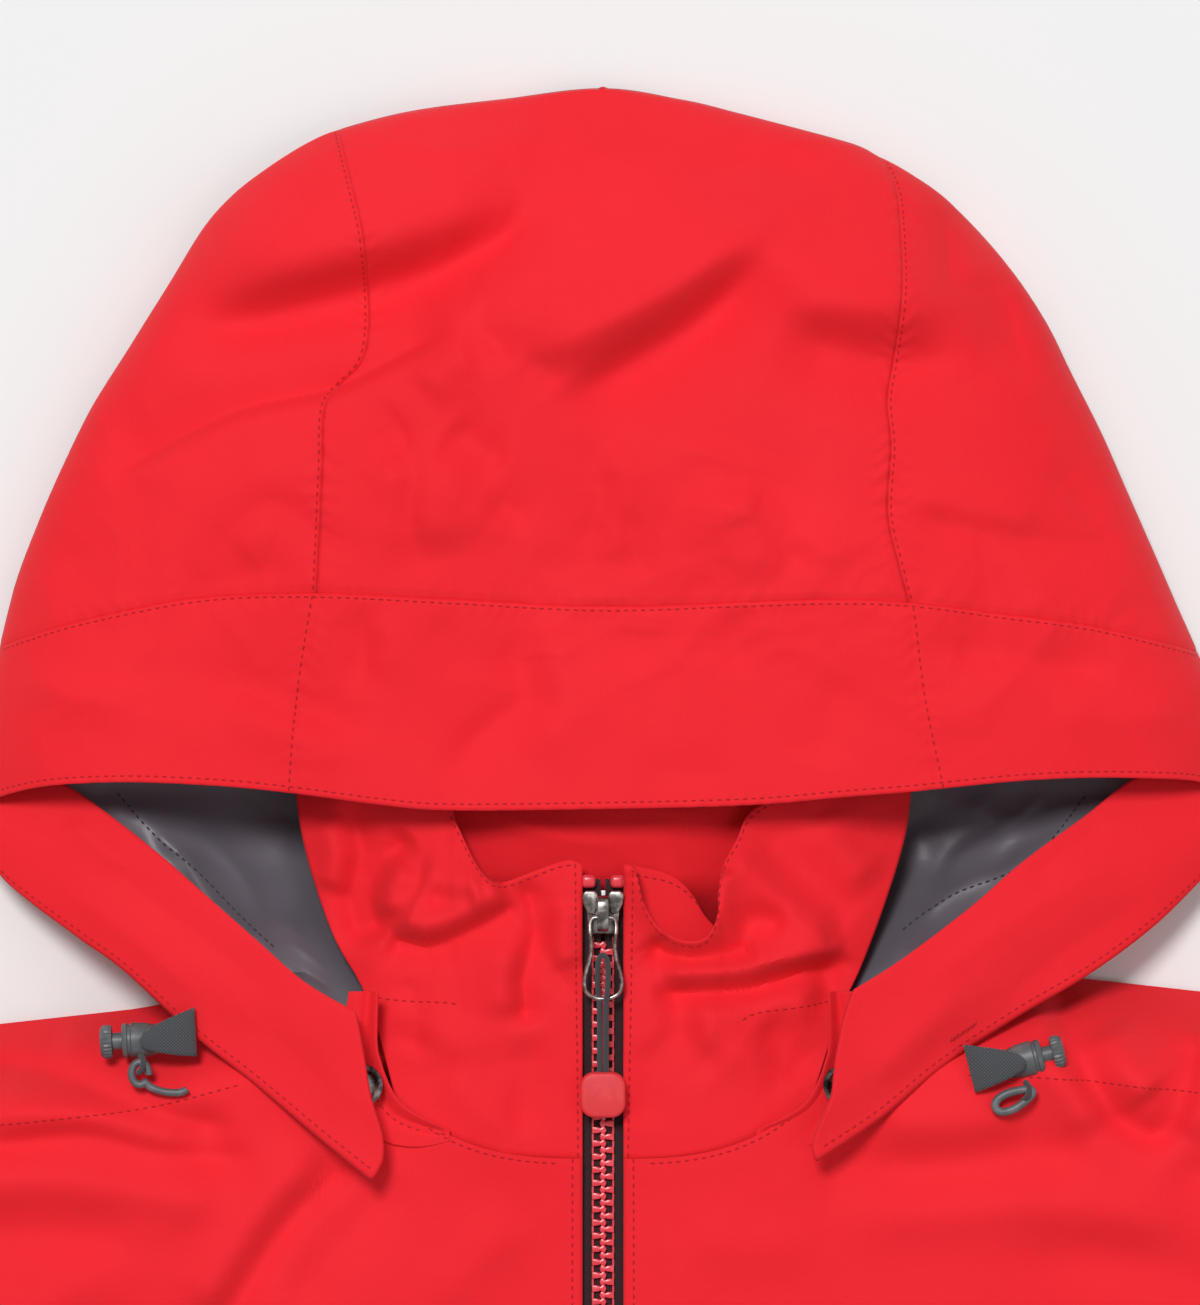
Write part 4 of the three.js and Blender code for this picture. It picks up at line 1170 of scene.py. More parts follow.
@dataclass
class Body:
    """The two fronts and the back, zipped together and lying flat."""

    length: float = 691
    chest_half: float = 262
    hem_half: float = 265
    shoulder_half: float = 222
    shoulder_rise: float = 34
    armpit_drop: float = 190
    neck_half: float = 78
    front_height: float = 36
    front_slope: float = 0.032
    side_roll: float = 60
    shoulder_roll: float = 28
    zip_window: float = 5.5
    edge: float = 2.1
    arch: float = 20
    settle_right: float = -6.0
    settle_left: float = 2.7

    def settled(self, x: Array, y: Array) -> Array:
        """y after each shoulder has slid a little up or down as it lies."""
        shift = np.where(x > 0, self.settle_left, self.settle_right)
        return y + shift * smooth(np.abs(x), 78, 130) * smooth(y, -80, 30)

    def plane(self, y: Array) -> Array:
        """Height of the front cloth away from its edges."""
        return self.front_height + self.front_slope * np.asarray(y, float)

    def half(self, y: Array) -> Array:
        """Half the body's width at a height y.

        Args:
            y: distance up from the neck seam.

        Returns:
            One value for each place.
        """
        up = np.clip((y + self.armpit_drop) / (self.armpit_drop + self.shoulder_rise), 0, 1)
        low = blend(self.hem_half, self.chest_half, (y + self.length) / (self.length - self.armpit_drop))
        return np.where(y < -self.armpit_drop, low, blend(self.chest_half, self.shoulder_half, up))

    def shoulder(self, x: Array) -> Array:
        """The shoulder line's y at a distance from the centre."""
        out = (x - self.neck_half) / (self.shoulder_half - self.neck_half)
        return np.where(out < 0, NECK_RISE, blend(NECK_RISE, self.shoulder_rise, out))

    def neck(self, x: Array) -> Array:
        """The neck seam's y at a distance from the centre."""
        return NECK_RISE * np.clip(x / self.neck_half, 0, 1) ** 3.2

    def armhole(self, s: Array) -> Array:
        """Height of the armhole's edge from the armpit (0) to the shoulder tip (1)."""
        return self.edge + self.arch * np.sin(math.pi * np.clip(s, 0, 1)) ** 0.8

    def top(self, x: Array, y: Array) -> Array:
        """Height of the front cloth, before its folds.

        Args:
            x: distance from the zip.
            y: distance up from the neck seam.

        Returns:
            One value for each place.
        """
        s = (y + self.armpit_drop) / (self.armpit_drop + self.shoulder_rise)
        edge = np.where(y < -self.armpit_drop, self.edge, self.armhole(s))
        side = roll(self.half(y) - x, self.side_roll)
        up = roll(self.shoulder(x) - y + np.maximum(0, self.neck_half - x), self.shoulder_roll)
        up = np.where(x < self.neck_half - 30, 1.0, up)
        return blend(blend(edge, self.plane(y), side), self.edge, 1 - up)

    def front_place(self, side: Side) -> Place:
        """The layout of one front.

        Args:
            side: which half of the jacket.

        Returns:
            The layout.
        """

        def place(u: Array, v: Array) -> Places:
            """Where the cloth lies.

            Args:
                u: share of the way across.
                v: share of the way along.

            Returns:
                x, y and z.
            """
            x = blend(self.zip_window, self.shoulder_half, u)
            y = np.zeros(u.shape)
            for _ in range(4):
                top = np.where(x < self.neck_half, self.neck(x), self.shoulder(x))
                y = blend(-self.length, top, 1 - (1 - v) ** 1.7)
                x = blend(self.zip_window, self.half(y), u)
            across = side.value * x
            return across, self.settled(across, y), self.top(x, y) + 0.5 * smooth(v, 0.9, 0.97)

        return place

    def relief(self, side: Side) -> Relief:
        """The folds of one front: the chest in view, then the long soft folds down to the hem.

        Args:
            side: which half of the jacket.

        Returns:
            The folds and creases.
        """
        mirrored = tuple(
            Fold(tuple((side.value * x, y) for x, y in f.points), f.height, f.width, f.crest, f.lean, f.fade)
            for f in FRONT_FOLDS
        )
        return Relief(
            (*mirrored, *CHEST_FOLDS[side]), Crumple(11 if side is Side.LEFT else 23, 1.3, 52), calm=18
        )

    def build(self) -> None:
        """Builds the fronts and the back with their stitching."""
        for side in Side:
            place, relief = self.front_place(side), self.relief(side)
            front = Cloth(f"front_{side.tag}", place, 150, 300, relief=relief)
            front.build(replaces=[f"front_panel_{side.tag}"])
            t = np.linspace(0, 1, 600)
            near = row_on(place, relief, np.full(600, 0.012), t)
            hem = row_on(place, relief, t, np.full(600, 0.021))
            hem_two = row_on(place, relief, t, np.full(600, 0.0045))
            shoulder_t = np.linspace(0.42, 1, 300)
            shoulder = row_on(place, relief, shoulder_t, np.full(300, 0.86))
            neck = row_on(place, relief, np.linspace(0.03, 0.22, 200), np.full(200, 0.975))
            Topstitch(f"front_stitch_{side.tag}", [near, hem, hem_two, shoulder, neck]).build()

        def back(u: Array, v: Array) -> Places:
            """Where the back's cloth lies.

            Args:
                u: share of the way across.
                v: share of the way along.

            Returns:
                x, y and z.
            """
            a = 2 * u - 1
            y = blend(-self.length, self.shoulder(np.abs(a) * self.shoulder_half), v)
            x = a * self.half(y)
            return x, self.settled(x, y), np.full(u.shape, 1.5)

        Cloth("back", back, 90, 120, finish=Finish.SHELL, thickness=1.3).build(replaces=["back_panel"])
        self.storm_flap()

    def storm_flap(self) -> None:
        """The flap behind the zip."""

        def place(u: Array, v: Array) -> Places:
            """Where the cloth lies."""
            y = blend(-self.length + 6, -2.0, v)
            return blend(-20.0, 20.0, u), y, self.plane(y) - 6.0

        flap = Cloth("storm_flap_cloth", place, 16, 160, Finish.SHELL_IN, Relief((), Crumple(5, 0.3, 30)))
        flap.build(replaces=["storm_flap"])


@dataclass
class Sleeve:
    """One sleeve with its cuff and cuff tab."""

    side: Side
    body: Body
    cuff_x: float = 529
    cuff_drop: float = 538
    turn: float = math.radians(35)
    cap_x: float = 440
    cap_drop: float = 20
    cuff_half: float = 58
    cuff_length: float = 50
    cuff_rise: float = 13
    tab_length: float = 58
    tab_width: float = 26
    gap: float = 0.8

    def edges(self, v: Array) -> tuple[tuple[Array, Array], tuple[Array, Array]]:
        """The underarm seam's and the outer edge's places from the cuff to the armhole.

        Args:
            v: share from the cuff to the armhole.

        Returns:
            The x and y of both edges.
        """
        c, s = math.cos(self.turn), math.sin(self.turn)
        inner = (self.cuff_x - c * self.cuff_half, -self.cuff_drop - s * self.cuff_half)
        outer = (self.cuff_x + c * self.cuff_half, -self.cuff_drop + s * self.cuff_half)
        pit = (self.body.chest_half + self.gap, -self.body.armpit_drop)
        tip = (self.body.shoulder_half + self.gap, self.body.shoulder_rise)
        cap = (self.cap_x, -self.cap_drop)
        under = tuple(blend(inner[k], pit[k], v) for k in (0, 1))
        over = tuple((1 - v) ** 2 * outer[k] + 2 * v * (1 - v) * cap[k] + v * v * tip[k] for k in (0, 1))
        return under, over

    def place(self, top: bool) -> Place:
        """The layout of the sleeve's upper or lower cloth.

        Args:
            top: whether it is the upper cloth.

        Returns:
            The layout.
        """

        def spread(u: Array, v: Array) -> Places:
            """Where the cloth lies.

            Args:
                u: share of the way across.
                v: share of the way along.

            Returns:
                x, y and z.
            """
            under, over = self.edges(v)
            x, y = blend(under[0], over[0], u), blend(under[1], over[1], u)
            if top:
                arch = blend(self.cuff_rise, self.body.arch, v)
                z = self.body.edge + arch * np.sin(math.pi * np.clip(u, 0, 1)) ** 0.8
            else:
                z = np.full(u.shape, 1.5)
            return self.side.value * x, self.body.settled(self.side.value * x, y), z

        return spread

    def folds(self) -> Relief:
        """Folds at the armpit and the elbow.

        Returns:
            The folds and creases.
        """
        s = self.side.value
        lines = (
            (((262, -190), (300, -150), (345, -120)), 3.4, 12),
            (((262, -195), (310, -180), (370, -150)), 3.0, 12),
            (((250, -120), (290, -90), (330, -60)), 2.2, 12),
            (((370, -390), (410, -370), (460, -330)), 3.4, 11),
            (((380, -420), (430, -405), (480, -370)), -2.6, 10),
            (((400, -455), (440, -440), (500, -400)), 2.8, 10),
            (((330, -300), (360, -270), (420, -240)), 2.4, 13),
            (((450, -520), (480, -500), (530, -470)), 2.0, 9),
        )
        folds = tuple(Fold(tuple((s * x, y) for x, y in p), h, w, 1.3, 0.2 * s) for p, h, w in lines)
        return Relief(folds, Crumple(41 if s > 0 else 57, 1.1, 55))

    def build(self) -> None:
        """Builds the sleeve."""
        tag = self.side.tag
        relief = self.folds()
        upper = Cloth(f"sleeve_upper_{tag}", self.place(True), 90, 170, relief=relief)
        upper.build(replaces=[f"sleeve_top_{tag}"])
        lower = Cloth(f"sleeve_lower_{tag}", self.place(False), 40, 80, thickness=1.3)
        lower.build(replaces=[f"sleeve_under_{tag}"])
        t = np.linspace(0, 1, 300)
        rows = [row_on(self.place(True), relief, t, np.full(300, k)) for k in (0.985, 0.012, 0.022)]
        Topstitch(f"sleeve_stitch_{tag}", rows).build()
        self.cuff()
        self.tab()

    def frame(self) -> Matrix:
        """The cuff's own frame: x across the cuff, y up the sleeve, at the middle of the sleeve's end.

        Returns:
            The frame.
        """
        m = self.side.value
        centre = at(m * self.cuff_x, -self.cuff_drop)
        return Matrix.Translation(centre) @ Matrix.Rotation(m * self.turn, 4, "Z")

    def cuff(self) -> None:
        """The cuff: a flattened tube with a hem and a gathered back."""
        height = self.body.edge + self.cuff_rise
        bm = bmesh.new()
        ring = bmesh.ops.create_circle(bm, segments=96, radius=1.0)["verts"]
        for v in ring:
            a, b = v.co.x, v.co.y
            flat = abs(a) ** 0.25 * (1 if a > 0 else -1) if abs(a) > 1e-6 else 0
            if abs(a) < 1:
                half = self.cuff_half - height / 2
                x = flat * half * min(1, abs(a) * 1.6) + a * height / 2
            else:
                x = a * (self.cuff_half - 0.3)
            v.co = Vector((x, -self.gap, height / 2 + b * (height / 2 - 0.2)))
        steps = 22
        edges = bm.edges[:]
        for _ in range(steps):
            out = bmesh.ops.extrude_edge_only(bm, edges=edges)["geom"]
            verts = corners(out)
            edges = [g for g in out if isinstance(g, bmesh.types.BMEdge)]
            bmesh.ops.translate(bm, verts=verts, vec=(0, -self.cuff_length / steps, 0))
        for v in bm.verts:
            depth = (-self.gap - v.co.y) / self.cuff_length
            ease = 1 - 0.036 * float(smooth(1 - depth, 0.0, 0.3))
            held = float(smooth(depth, 0.15, 0.3) * smooth(1 - depth, 0.0, 0.2))
            pucker = 0.35 * math.sin(v.co.x * 0.9) * held if v.co.z > height / 2 else 0.0
            v.co.z = height / 2 + (v.co.z - height / 2) * ease + pucker
            v.co = v.co * MM
        bmesh.ops.recalc_face_normals(bm, faces=bm.faces[:])
        bm.transform(self.frame())
        piece = finished(bm, f"cuff_cloth_{self.side.tag}", Finish.SHELL)
        wall = piece.modifiers.new("cloth thickness", "SOLIDIFY")
        wall.thickness = 1.1 * MM
        wall.offset = -1
        mount(piece, "jacket", f"cuff_{self.side.tag}")

    def tab(self) -> None:
        """The cuff's closing tab: a moulded, stitched strap."""
        height = self.body.edge + self.cuff_rise
        m = self.side.value
        centre = self.frame() @ Vector((0, (-self.gap - self.cuff_length / 2) * MM, (height + 1.3) * MM))
        turn = Matrix.Rotation(m * self.turn, 4, "Z")
        tab = block_of(
            f"cuff_tab_cloth_{self.side.tag}",
            Finish.SHELL,
            (self.tab_length, self.tab_width, 1.5),
            centre,
            0.6,
            turn,
        )
        mount(tab, f"cuff_tab_{self.side.tag}", f"cuff_tab_{self.side.tag}")
        w, h = self.tab_length / 2 - 3, self.tab_width / 2 - 3
        ring = ((-w, -h), (w, -h), (w, h), (-w, h), (-w, -h))
        place = self.frame()
        middle = self.gap + self.cuff_length / 2
        xs, ys = [], []
        for (a, b), (c, d) in zip(ring, ring[1:]):
            for t in np.linspace(0, 1, 30, endpoint=False):
                p = place @ Vector((blend(a, c, t) * MM, (blend(b, d, t) - middle) * MM, 0))
                xs.append(p.x / MM)
                ys.append(p.y / MM - NECK_Y)
        row = (np.array(xs), np.array(ys), np.full(len(xs), height + 2.1))
        Topstitch(f"cuff_tab_stitch_{self.side.tag}", [row]).build(f"cuff_tab_{self.side.tag}")


# ------------------------------------------------------------------ the collar


@dataclass
class Collar:
    """The stand-up collar: two fronts, their inner facing and the back."""

    body: Body
    height: float = 79

    def patch(self, side: Side) -> Patch:
        """One collar front's outline. Its foot is tucked under the front's neck edge.

        Args:
            side: which half of the jacket.

        Returns:
            The patch.
        """
        foot = ((5.5, -2.2), (18, -1.4), (33, 0.6), (46, 6), (55, 13))
        near = ((5.5, -2.2), (5.5, 40), (5.5, self.height))
        if side is Side.RIGHT:
            head = (
                (5.5, self.height), (9, 80.3), (15, 78.5), (22, 75.6), (27, 74.2), (31, 75.5), (35, 81),
                (40, 91), (46, 100), (84, 109)
            )
            far = ((55, 13), (60, 32), (65, 46), (72, 58), (78, 74), (82, 90), (84, 109))
        else:
            head = (
                (5.5, self.height), (9, 78), (10.4, 69.5), (15.2, 61.5), (22, 58.2), (28, 59.5),
                (30.8, 66.5), (31.5, 77), (36, 85.6), (44, 96), (84, 109)
            )
            far = ((55, 13), (60, 28), (64, 40), (69, 50), (76, 68), (82, 88), (84, 109))
        return Patch(foot, head, near, far)

    def place(self, side: Side) -> Place:
        """The layout of one collar front.

        Args:
            side: which half of the jacket.

        Returns:
            The layout.
        """
        patch = self.patch(side)

        def spread(u: Array, v: Array) -> Places:
            """Where the cloth lies.

            Args:
                u: share of the way across.
                v: share of the way along.

            Returns:
                x, y and z.
            """
            x, y = patch.spread(u, v)
            z = blend(self.body.plane(y), blend(34.0, 17.0, v), u**2.4)
            return side.value * x, y, z - 1.1 * (1 - smooth(v, 0.0, 0.045))

        return spread

    def relief(self, side: Side) -> Relief:
        """The collar's strong folds, different on each side.

        Args:
            side: which half of the jacket.

        Returns:
            The folds and creases.
        """
        return Relief(COLLAR_FOLDS[side], Crumple(71 if side is Side.RIGHT else 83, 0.8, 22))

    def build(self) -> None:
        """Builds the collar with its stitching."""
        t = np.linspace(0, 1, 240)
        for side in Side:
            place, relief = self.place(side), self.relief(side)
            name = f"collar_cloth_{side.tag}"
            Cloth(name, place, 100, 100, relief=relief).build(replaces=[f"collar_front_{side.tag}"])
            edge = row_on(place, relief, np.linspace(0.03, 0.75, 240), np.full(240, 0.983))
            near = row_on(place, relief, np.full(240, 0.022), t)
            inner = row_on(place, relief, np.linspace(0.55, 0.98, 240), 0.42 - 0.1 * t)
            Topstitch(f"collar_stitch_{side.tag}", [edge, near, inner]).build()
        self.facing()
        self.back()

    def facing(self) -> None:
        """The inner layer that shows where the left front's top edge rolls over."""
        patch = Patch(
            ((6, 44), (20, 44), (34, 46), (44, 60)),
            ((6, 79), (13, 77.6), (19, 75.6), (24.5, 70), (27, 61)),
            ((6, 44), (6, 60), (6, 79)),
            ((44, 60), (36, 60), (27, 61)),
        )

        def place(u: Array, v: Array) -> Places:
            """Where the cloth lies."""
            x, y = patch.spread(u, v)
            return x, y, self.body.plane(y) - 5.5 - 5.0 * u + 2.2 * v

        Cloth("collar_facing", place, 40, 40, finish=Finish.SHELL).build()
        t = np.linspace(0, 1, 120)
        row = row_on(place, Relief(), t, np.full(120, 0.93))
        Topstitch("collar_facing_stitch", [row]).build()

    def back(self) -> None:
        """The back of the collar, seen from inside."""

        def place(u: Array, v: Array) -> Places:
            """Where the cloth lies.

            Args:
                u: share of the way across.
                v: share of the way along.

            Returns:
                x, y and z.
            """
            a = 2 * u - 1
            y = blend(NECK_RISE + 0.5, 110.0, v)
            half = blend(66.0, 78.0, v)
            middle = 1 - np.clip(np.abs(a), 0, 1) ** 2.2
            z = 4.6 + (7.4 + 19.0 * middle) * smooth((y - NECK_RISE) / 60, -0.1, 0.45)
            return a * half, y, z

        folds = Relief(
            (
                Fold(((-34, 94), (-10, 86), (12, 84)), 2.6, 5, 1.3),
                Fold(((-20, 100), (8, 96), (36, 88)), 2.0, 5, 1.3),
                Fold(((6, 92), (18, 80), (22, 66)), 1.6, 5, 1.4),
            ),
            Crumple(97, 0.5, 24),
        )
        inside = Cloth("collar_inside", place, 90, 50, Finish.SHELL_IN, folds)
        inside.build(replaces=["collar_back"])


# ------------------------------------------------------------------ the hood


@dataclass
class Hood:
    """The hood, pulled forward over the collar, with the grey lining showing at both cheeks."""

    top: float = 289
    mouth: float = 97
    height: float = 45
    foot: float = 54
    edge: float = 2.1
    rim_right: Line = (
        (-170, 94), (-171, 108), (-168, 124), (-164.5, 137), (-160, 155), (-154, 171), (-147, 187),
        (-139, 203), (-129, 219), (-119, 235), (-109, 251), (-101, 260), (-92, 267), (-81, 274),
        (-72, 278), (-53, 283), (-28, 286.5), (0, 289.5),
    )
    rim_left: Line = (
        (169, 98), (170, 110), (167, 123), (162, 135.6), (157, 147), (150, 163), (143, 179), (136, 195),
        (128, 211), (120, 227), (109, 243), (95, 258), (84, 266), (75, 271), (66, 275), (36, 283),
        (21, 286.5), (0, 289.5),
    )
    panel_right: Line = (
        (-76.5, 151.6), (-76, 162), (-75, 185), (-74, 203), (-65, 213), (-63, 221), (-63, 230),
        (-64, 246), (-67, 259), (-72, 278),
    )
    panel_left: Line = (
        (81.5, 149.2), (79, 159), (76, 173), (77, 191), (76, 203), (78, 215), (80, 233), (80, 251),
        (79, 262), (75, 271),
    )
    brim_seam: Line = (
        (-164.5, 137), (-152, 141), (-137, 145), (-107, 150.6), (-76.5, 151.6), (-42, 150), (-1, 148),
        (35, 149), (60, 149.8), (81.5, 149.2), (107, 146), (130, 143), (150, 138.6), (162, 135.6),
    )
    brim_edge: Line = (
        (-170, 94), (-161, 97.4), (-148, 100), (-127, 101), (-102, 100), (-82, 98), (-59, 95),
        (-41, 93.6), (-1, 94), (39, 95), (63, 97), (83, 98.6), (107, 101), (125, 102), (142, 102),
        (160, 101), (169, 98),
    )
    brim_cross_right: Line = ((-83, 98), (-81, 123), (-78, 143), (-76.5, 151.6))
    brim_cross_left: Line = ((90, 99), (85, 123), (82.5, 143), (81.5, 149.2))

    def __post_init__(self) -> None:
        """Works out the outline's half width at any height."""
        self.half_right, self.half_left = (Curve(r, 1.0).sampled() for r in (self.rim_right, self.rim_left))

    def half(self, x: Array, y: Array) -> Array:
        """Half the hood's width at a height y, on the side that x is on.

        Args:
            x: distance from the zip.
            y: distance up from the neck seam.

        Returns:
            One value for each place.
        """
        left = np.interp(y, self.half_left[:, 1], self.half_left[:, 0])
        right = np.interp(y, self.half_right[:, 1], -self.half_right[:, 0])
        return np.maximum(np.where(x > 0, left, right), 1.0)

    def surface(self, x: Array, y: Array) -> Array:
        """Height of the hood's upper cloth, before its folds.

        Args:
            x: distance from the zip.
            y: distance up from the neck seam.

        Returns:
            One value for each place.
        """
        across = np.sqrt(np.maximum(0, 1 - (np.abs(x) / self.half(x, y)) ** 4))
        along = roll(self.top - y + 7, 84)
        return self.edge + (self.height - self.edge) * across * along

    def relief(self) -> Relief:
        """The folds, the gathers along the seams and the small creases.

        Returns:
            The folds and creases.
        """
        seams = (
            Pucker(self.panel_right, 0.26, 5.5, 4.5, 0.35),
            Pucker(self.panel_left, 0.34, 5.0, 5.0, 0.4),
            Pucker(self.brim_seam, 0.24, 4.6, 4.0, 0.3),
            Pucker(self.brim_edge, 0.16, 5.0, 3.5),
            Pucker(self.brim_cross_right, 0.2, 5.0, 4.0, 0.4),
            Pucker(self.brim_cross_left, 0.2, 5.0, 4.0, 0.4),
        )
        return Relief((*HOOD_FOLDS, *seams), Crumple(131, 2.0, 30))

    def layout(self, patch: Patch, tuck: float) -> Place:
        """Lays a patch on the hood's surface, its foot tucked under the panel below.

        Args:
            patch: the panel's outline.
            tuck: how far the foot slips under its neighbour.

        Returns:
            The panel's layout.
        """

        drop = 0.45 if tuck else 0.0

        def place(u: Array, v: Array) -> Places:
            """Where the cloth lies.

            Args:
                u: share of the way across.
                v: share of the way along.

            Returns:
                x, y and z.
            """
            x, y = patch.spread(u, v)
            under = 1 - smooth(v, 0, 0.012)
            return x, y - tuck * under, self.surface(x, y) - drop * under

        return place

    def panels(self) -> dict[str, tuple[Place, int, int, str]]:
        """The upper panels: layout, fineness and the CAD node each stands for.

        Returns:
            For each piece its layout, its two counts and its node.
        """
        seam, edge = self.brim_seam, self.brim_edge
        ri, li = 4, 9
        tip_r, tip_l = (-72.6, 277.8), (75.8, 270.6)
        brim = Patch(edge, seam, self.rim_right[:4], self.rim_left[:4])
        head = (*self.rim_right[14:], *self.rim_left[-2:12:-1])
        crown = Patch(seam[ri : li + 1], head, self.panel_right, self.panel_left)
        right = Patch(
            seam[ri::-1], (self.panel_right[-1], tip_r), self.panel_right, (*self.rim_right[3:14], tip_r)
        )
        left = Patch(seam[li:], (self.panel_left[-1], tip_l), self.panel_left, (*self.rim_left[3:13], tip_l))
        return {
            "hood_brim_cloth": (self.layout(brim, 0.0), 330, 60, "hood_brim"),
            "hood_crown_cloth": (self.layout(crown, 0.7), 170, 150, "hood_crown"),
            "hood_side_cloth_left": (self.layout(left, 0.7), 100, 150, "hood_side_left"),
            "hood_side_cloth_right": (self.layout(right, 0.7), 100, 150, "hood_side_right"),
        }

    def build(self) -> None:
        """Builds the hood."""
        relief = self.relief()
        for name, (place, across, along, node) in self.panels().items():
            Cloth(name, place, across, along, relief=relief).build(replaces=[node])
        self.stitches(relief)
        self.inside()
        for side in Side:
            ChinBand(side).build()

    def stitches(self, relief: Relief) -> None:
        """Topstitching beside the seams and along the brim's edge.

        Args:
            relief: the folds of the cloth under it.
        """
        t = np.linspace(0.004, 0.996, 700)
        rows = []
        for line, dx, dy in (
            (self.brim_seam, 0, -1.1),
            (self.brim_edge, 0, 1.7),
            (self.panel_right, -1.0, 0),
            (self.panel_left, 1.0, 0),
            (self.brim_cross_right, -1.0, 0),
            (self.brim_cross_left, 1.0, 0),
        ):
            x, y = Curve(line).along(t)
            x, y = x + dx, y + dy
            keep = np.abs(x) < self.half(x, y) - 1.5
            x, y = x[keep], y[keep]
            rows.append((x, y, self.surface(x, y) + relief.lift(x, y) + 0.05))
        Topstitch("hood_stitch", rows).build()

    def inside(self) -> None:
        """The hood's back cloth and its lining, which climbs to the chin bands."""

        def back(u: Array, v: Array) -> Places:
            """Where the back's cloth lies.

            Args:
                u: share of the way across.
                v: share of the way along.

            Returns:
                x, y and z.
            """
            a = 2 * u - 1
            y = blend(self.foot, self.top - 2.5, v)
            low = blend(100.0, 166.0, (y - self.foot) / (self.mouth - self.foot))
            half = np.where(y < self.mouth, low, np.minimum(self.half(a, y) - 1.0, 166.0 + 0 * y))
            return a * np.maximum(half, 6), y, np.full(u.shape, 1.4)

        Cloth("hood_back_cloth", back, 80, 90, thickness=1.2).build(replaces=["hood_back"])

        levels, widths = (38, 60, 78, 97, 110), (72, 106, 132, 152, 154)

        def lining(u: Array, v: Array) -> Places:
            """Where the lining lies.

            Args:
                u: share of the way across.
                v: share of the way along.

            Returns:
                x, y and z.
            """
            a = 2 * u - 1
            y = blend(38.0, self.top - 34, v)
            low = np.interp(y, levels, widths)
            half = np.where(y < 104, low, np.minimum(self.half(a, y) - 12, 154))
            x = a * half
            lip = np.interp(y, (38, 50, 60, 78, 97), (24, 27, 28, 23, 14))
            rise = smooth(1 - (half - np.abs(x)) / 62) * (1 - smooth(y, 104, 134))
            return x, y, 4.0 + (lip - 4.0) * rise

        relief = Relief(LINING_FOLDS, Crumple(151, 0.7, 22))
        satin = Cloth("hood_lining_cloth", lining, 230, 130, Finish.LINING, relief, 0.3)
        satin.build(replaces=["hood_lining"])
        rows = []
        for points in (
            ((-132, 98), (-121, 86), (-110, 77), (-99, 66), (-88, 56)),
            ((131, 97), (114.7, 79), (94, 70), (80, 60)),
        ):
            x, y = Curve(points).along(np.linspace(0, 1, 160))
            u, v = 0.5 + 0.5 * x / np.interp(y, levels, widths), (y - 38) / (self.top - 72)
            rows.append(row_on(lining, relief, u, v, 0.15))
        Topstitch("lining_stitch", rows, Finish.LINING_THREAD, 2.2, 1.5, 0.3).build()


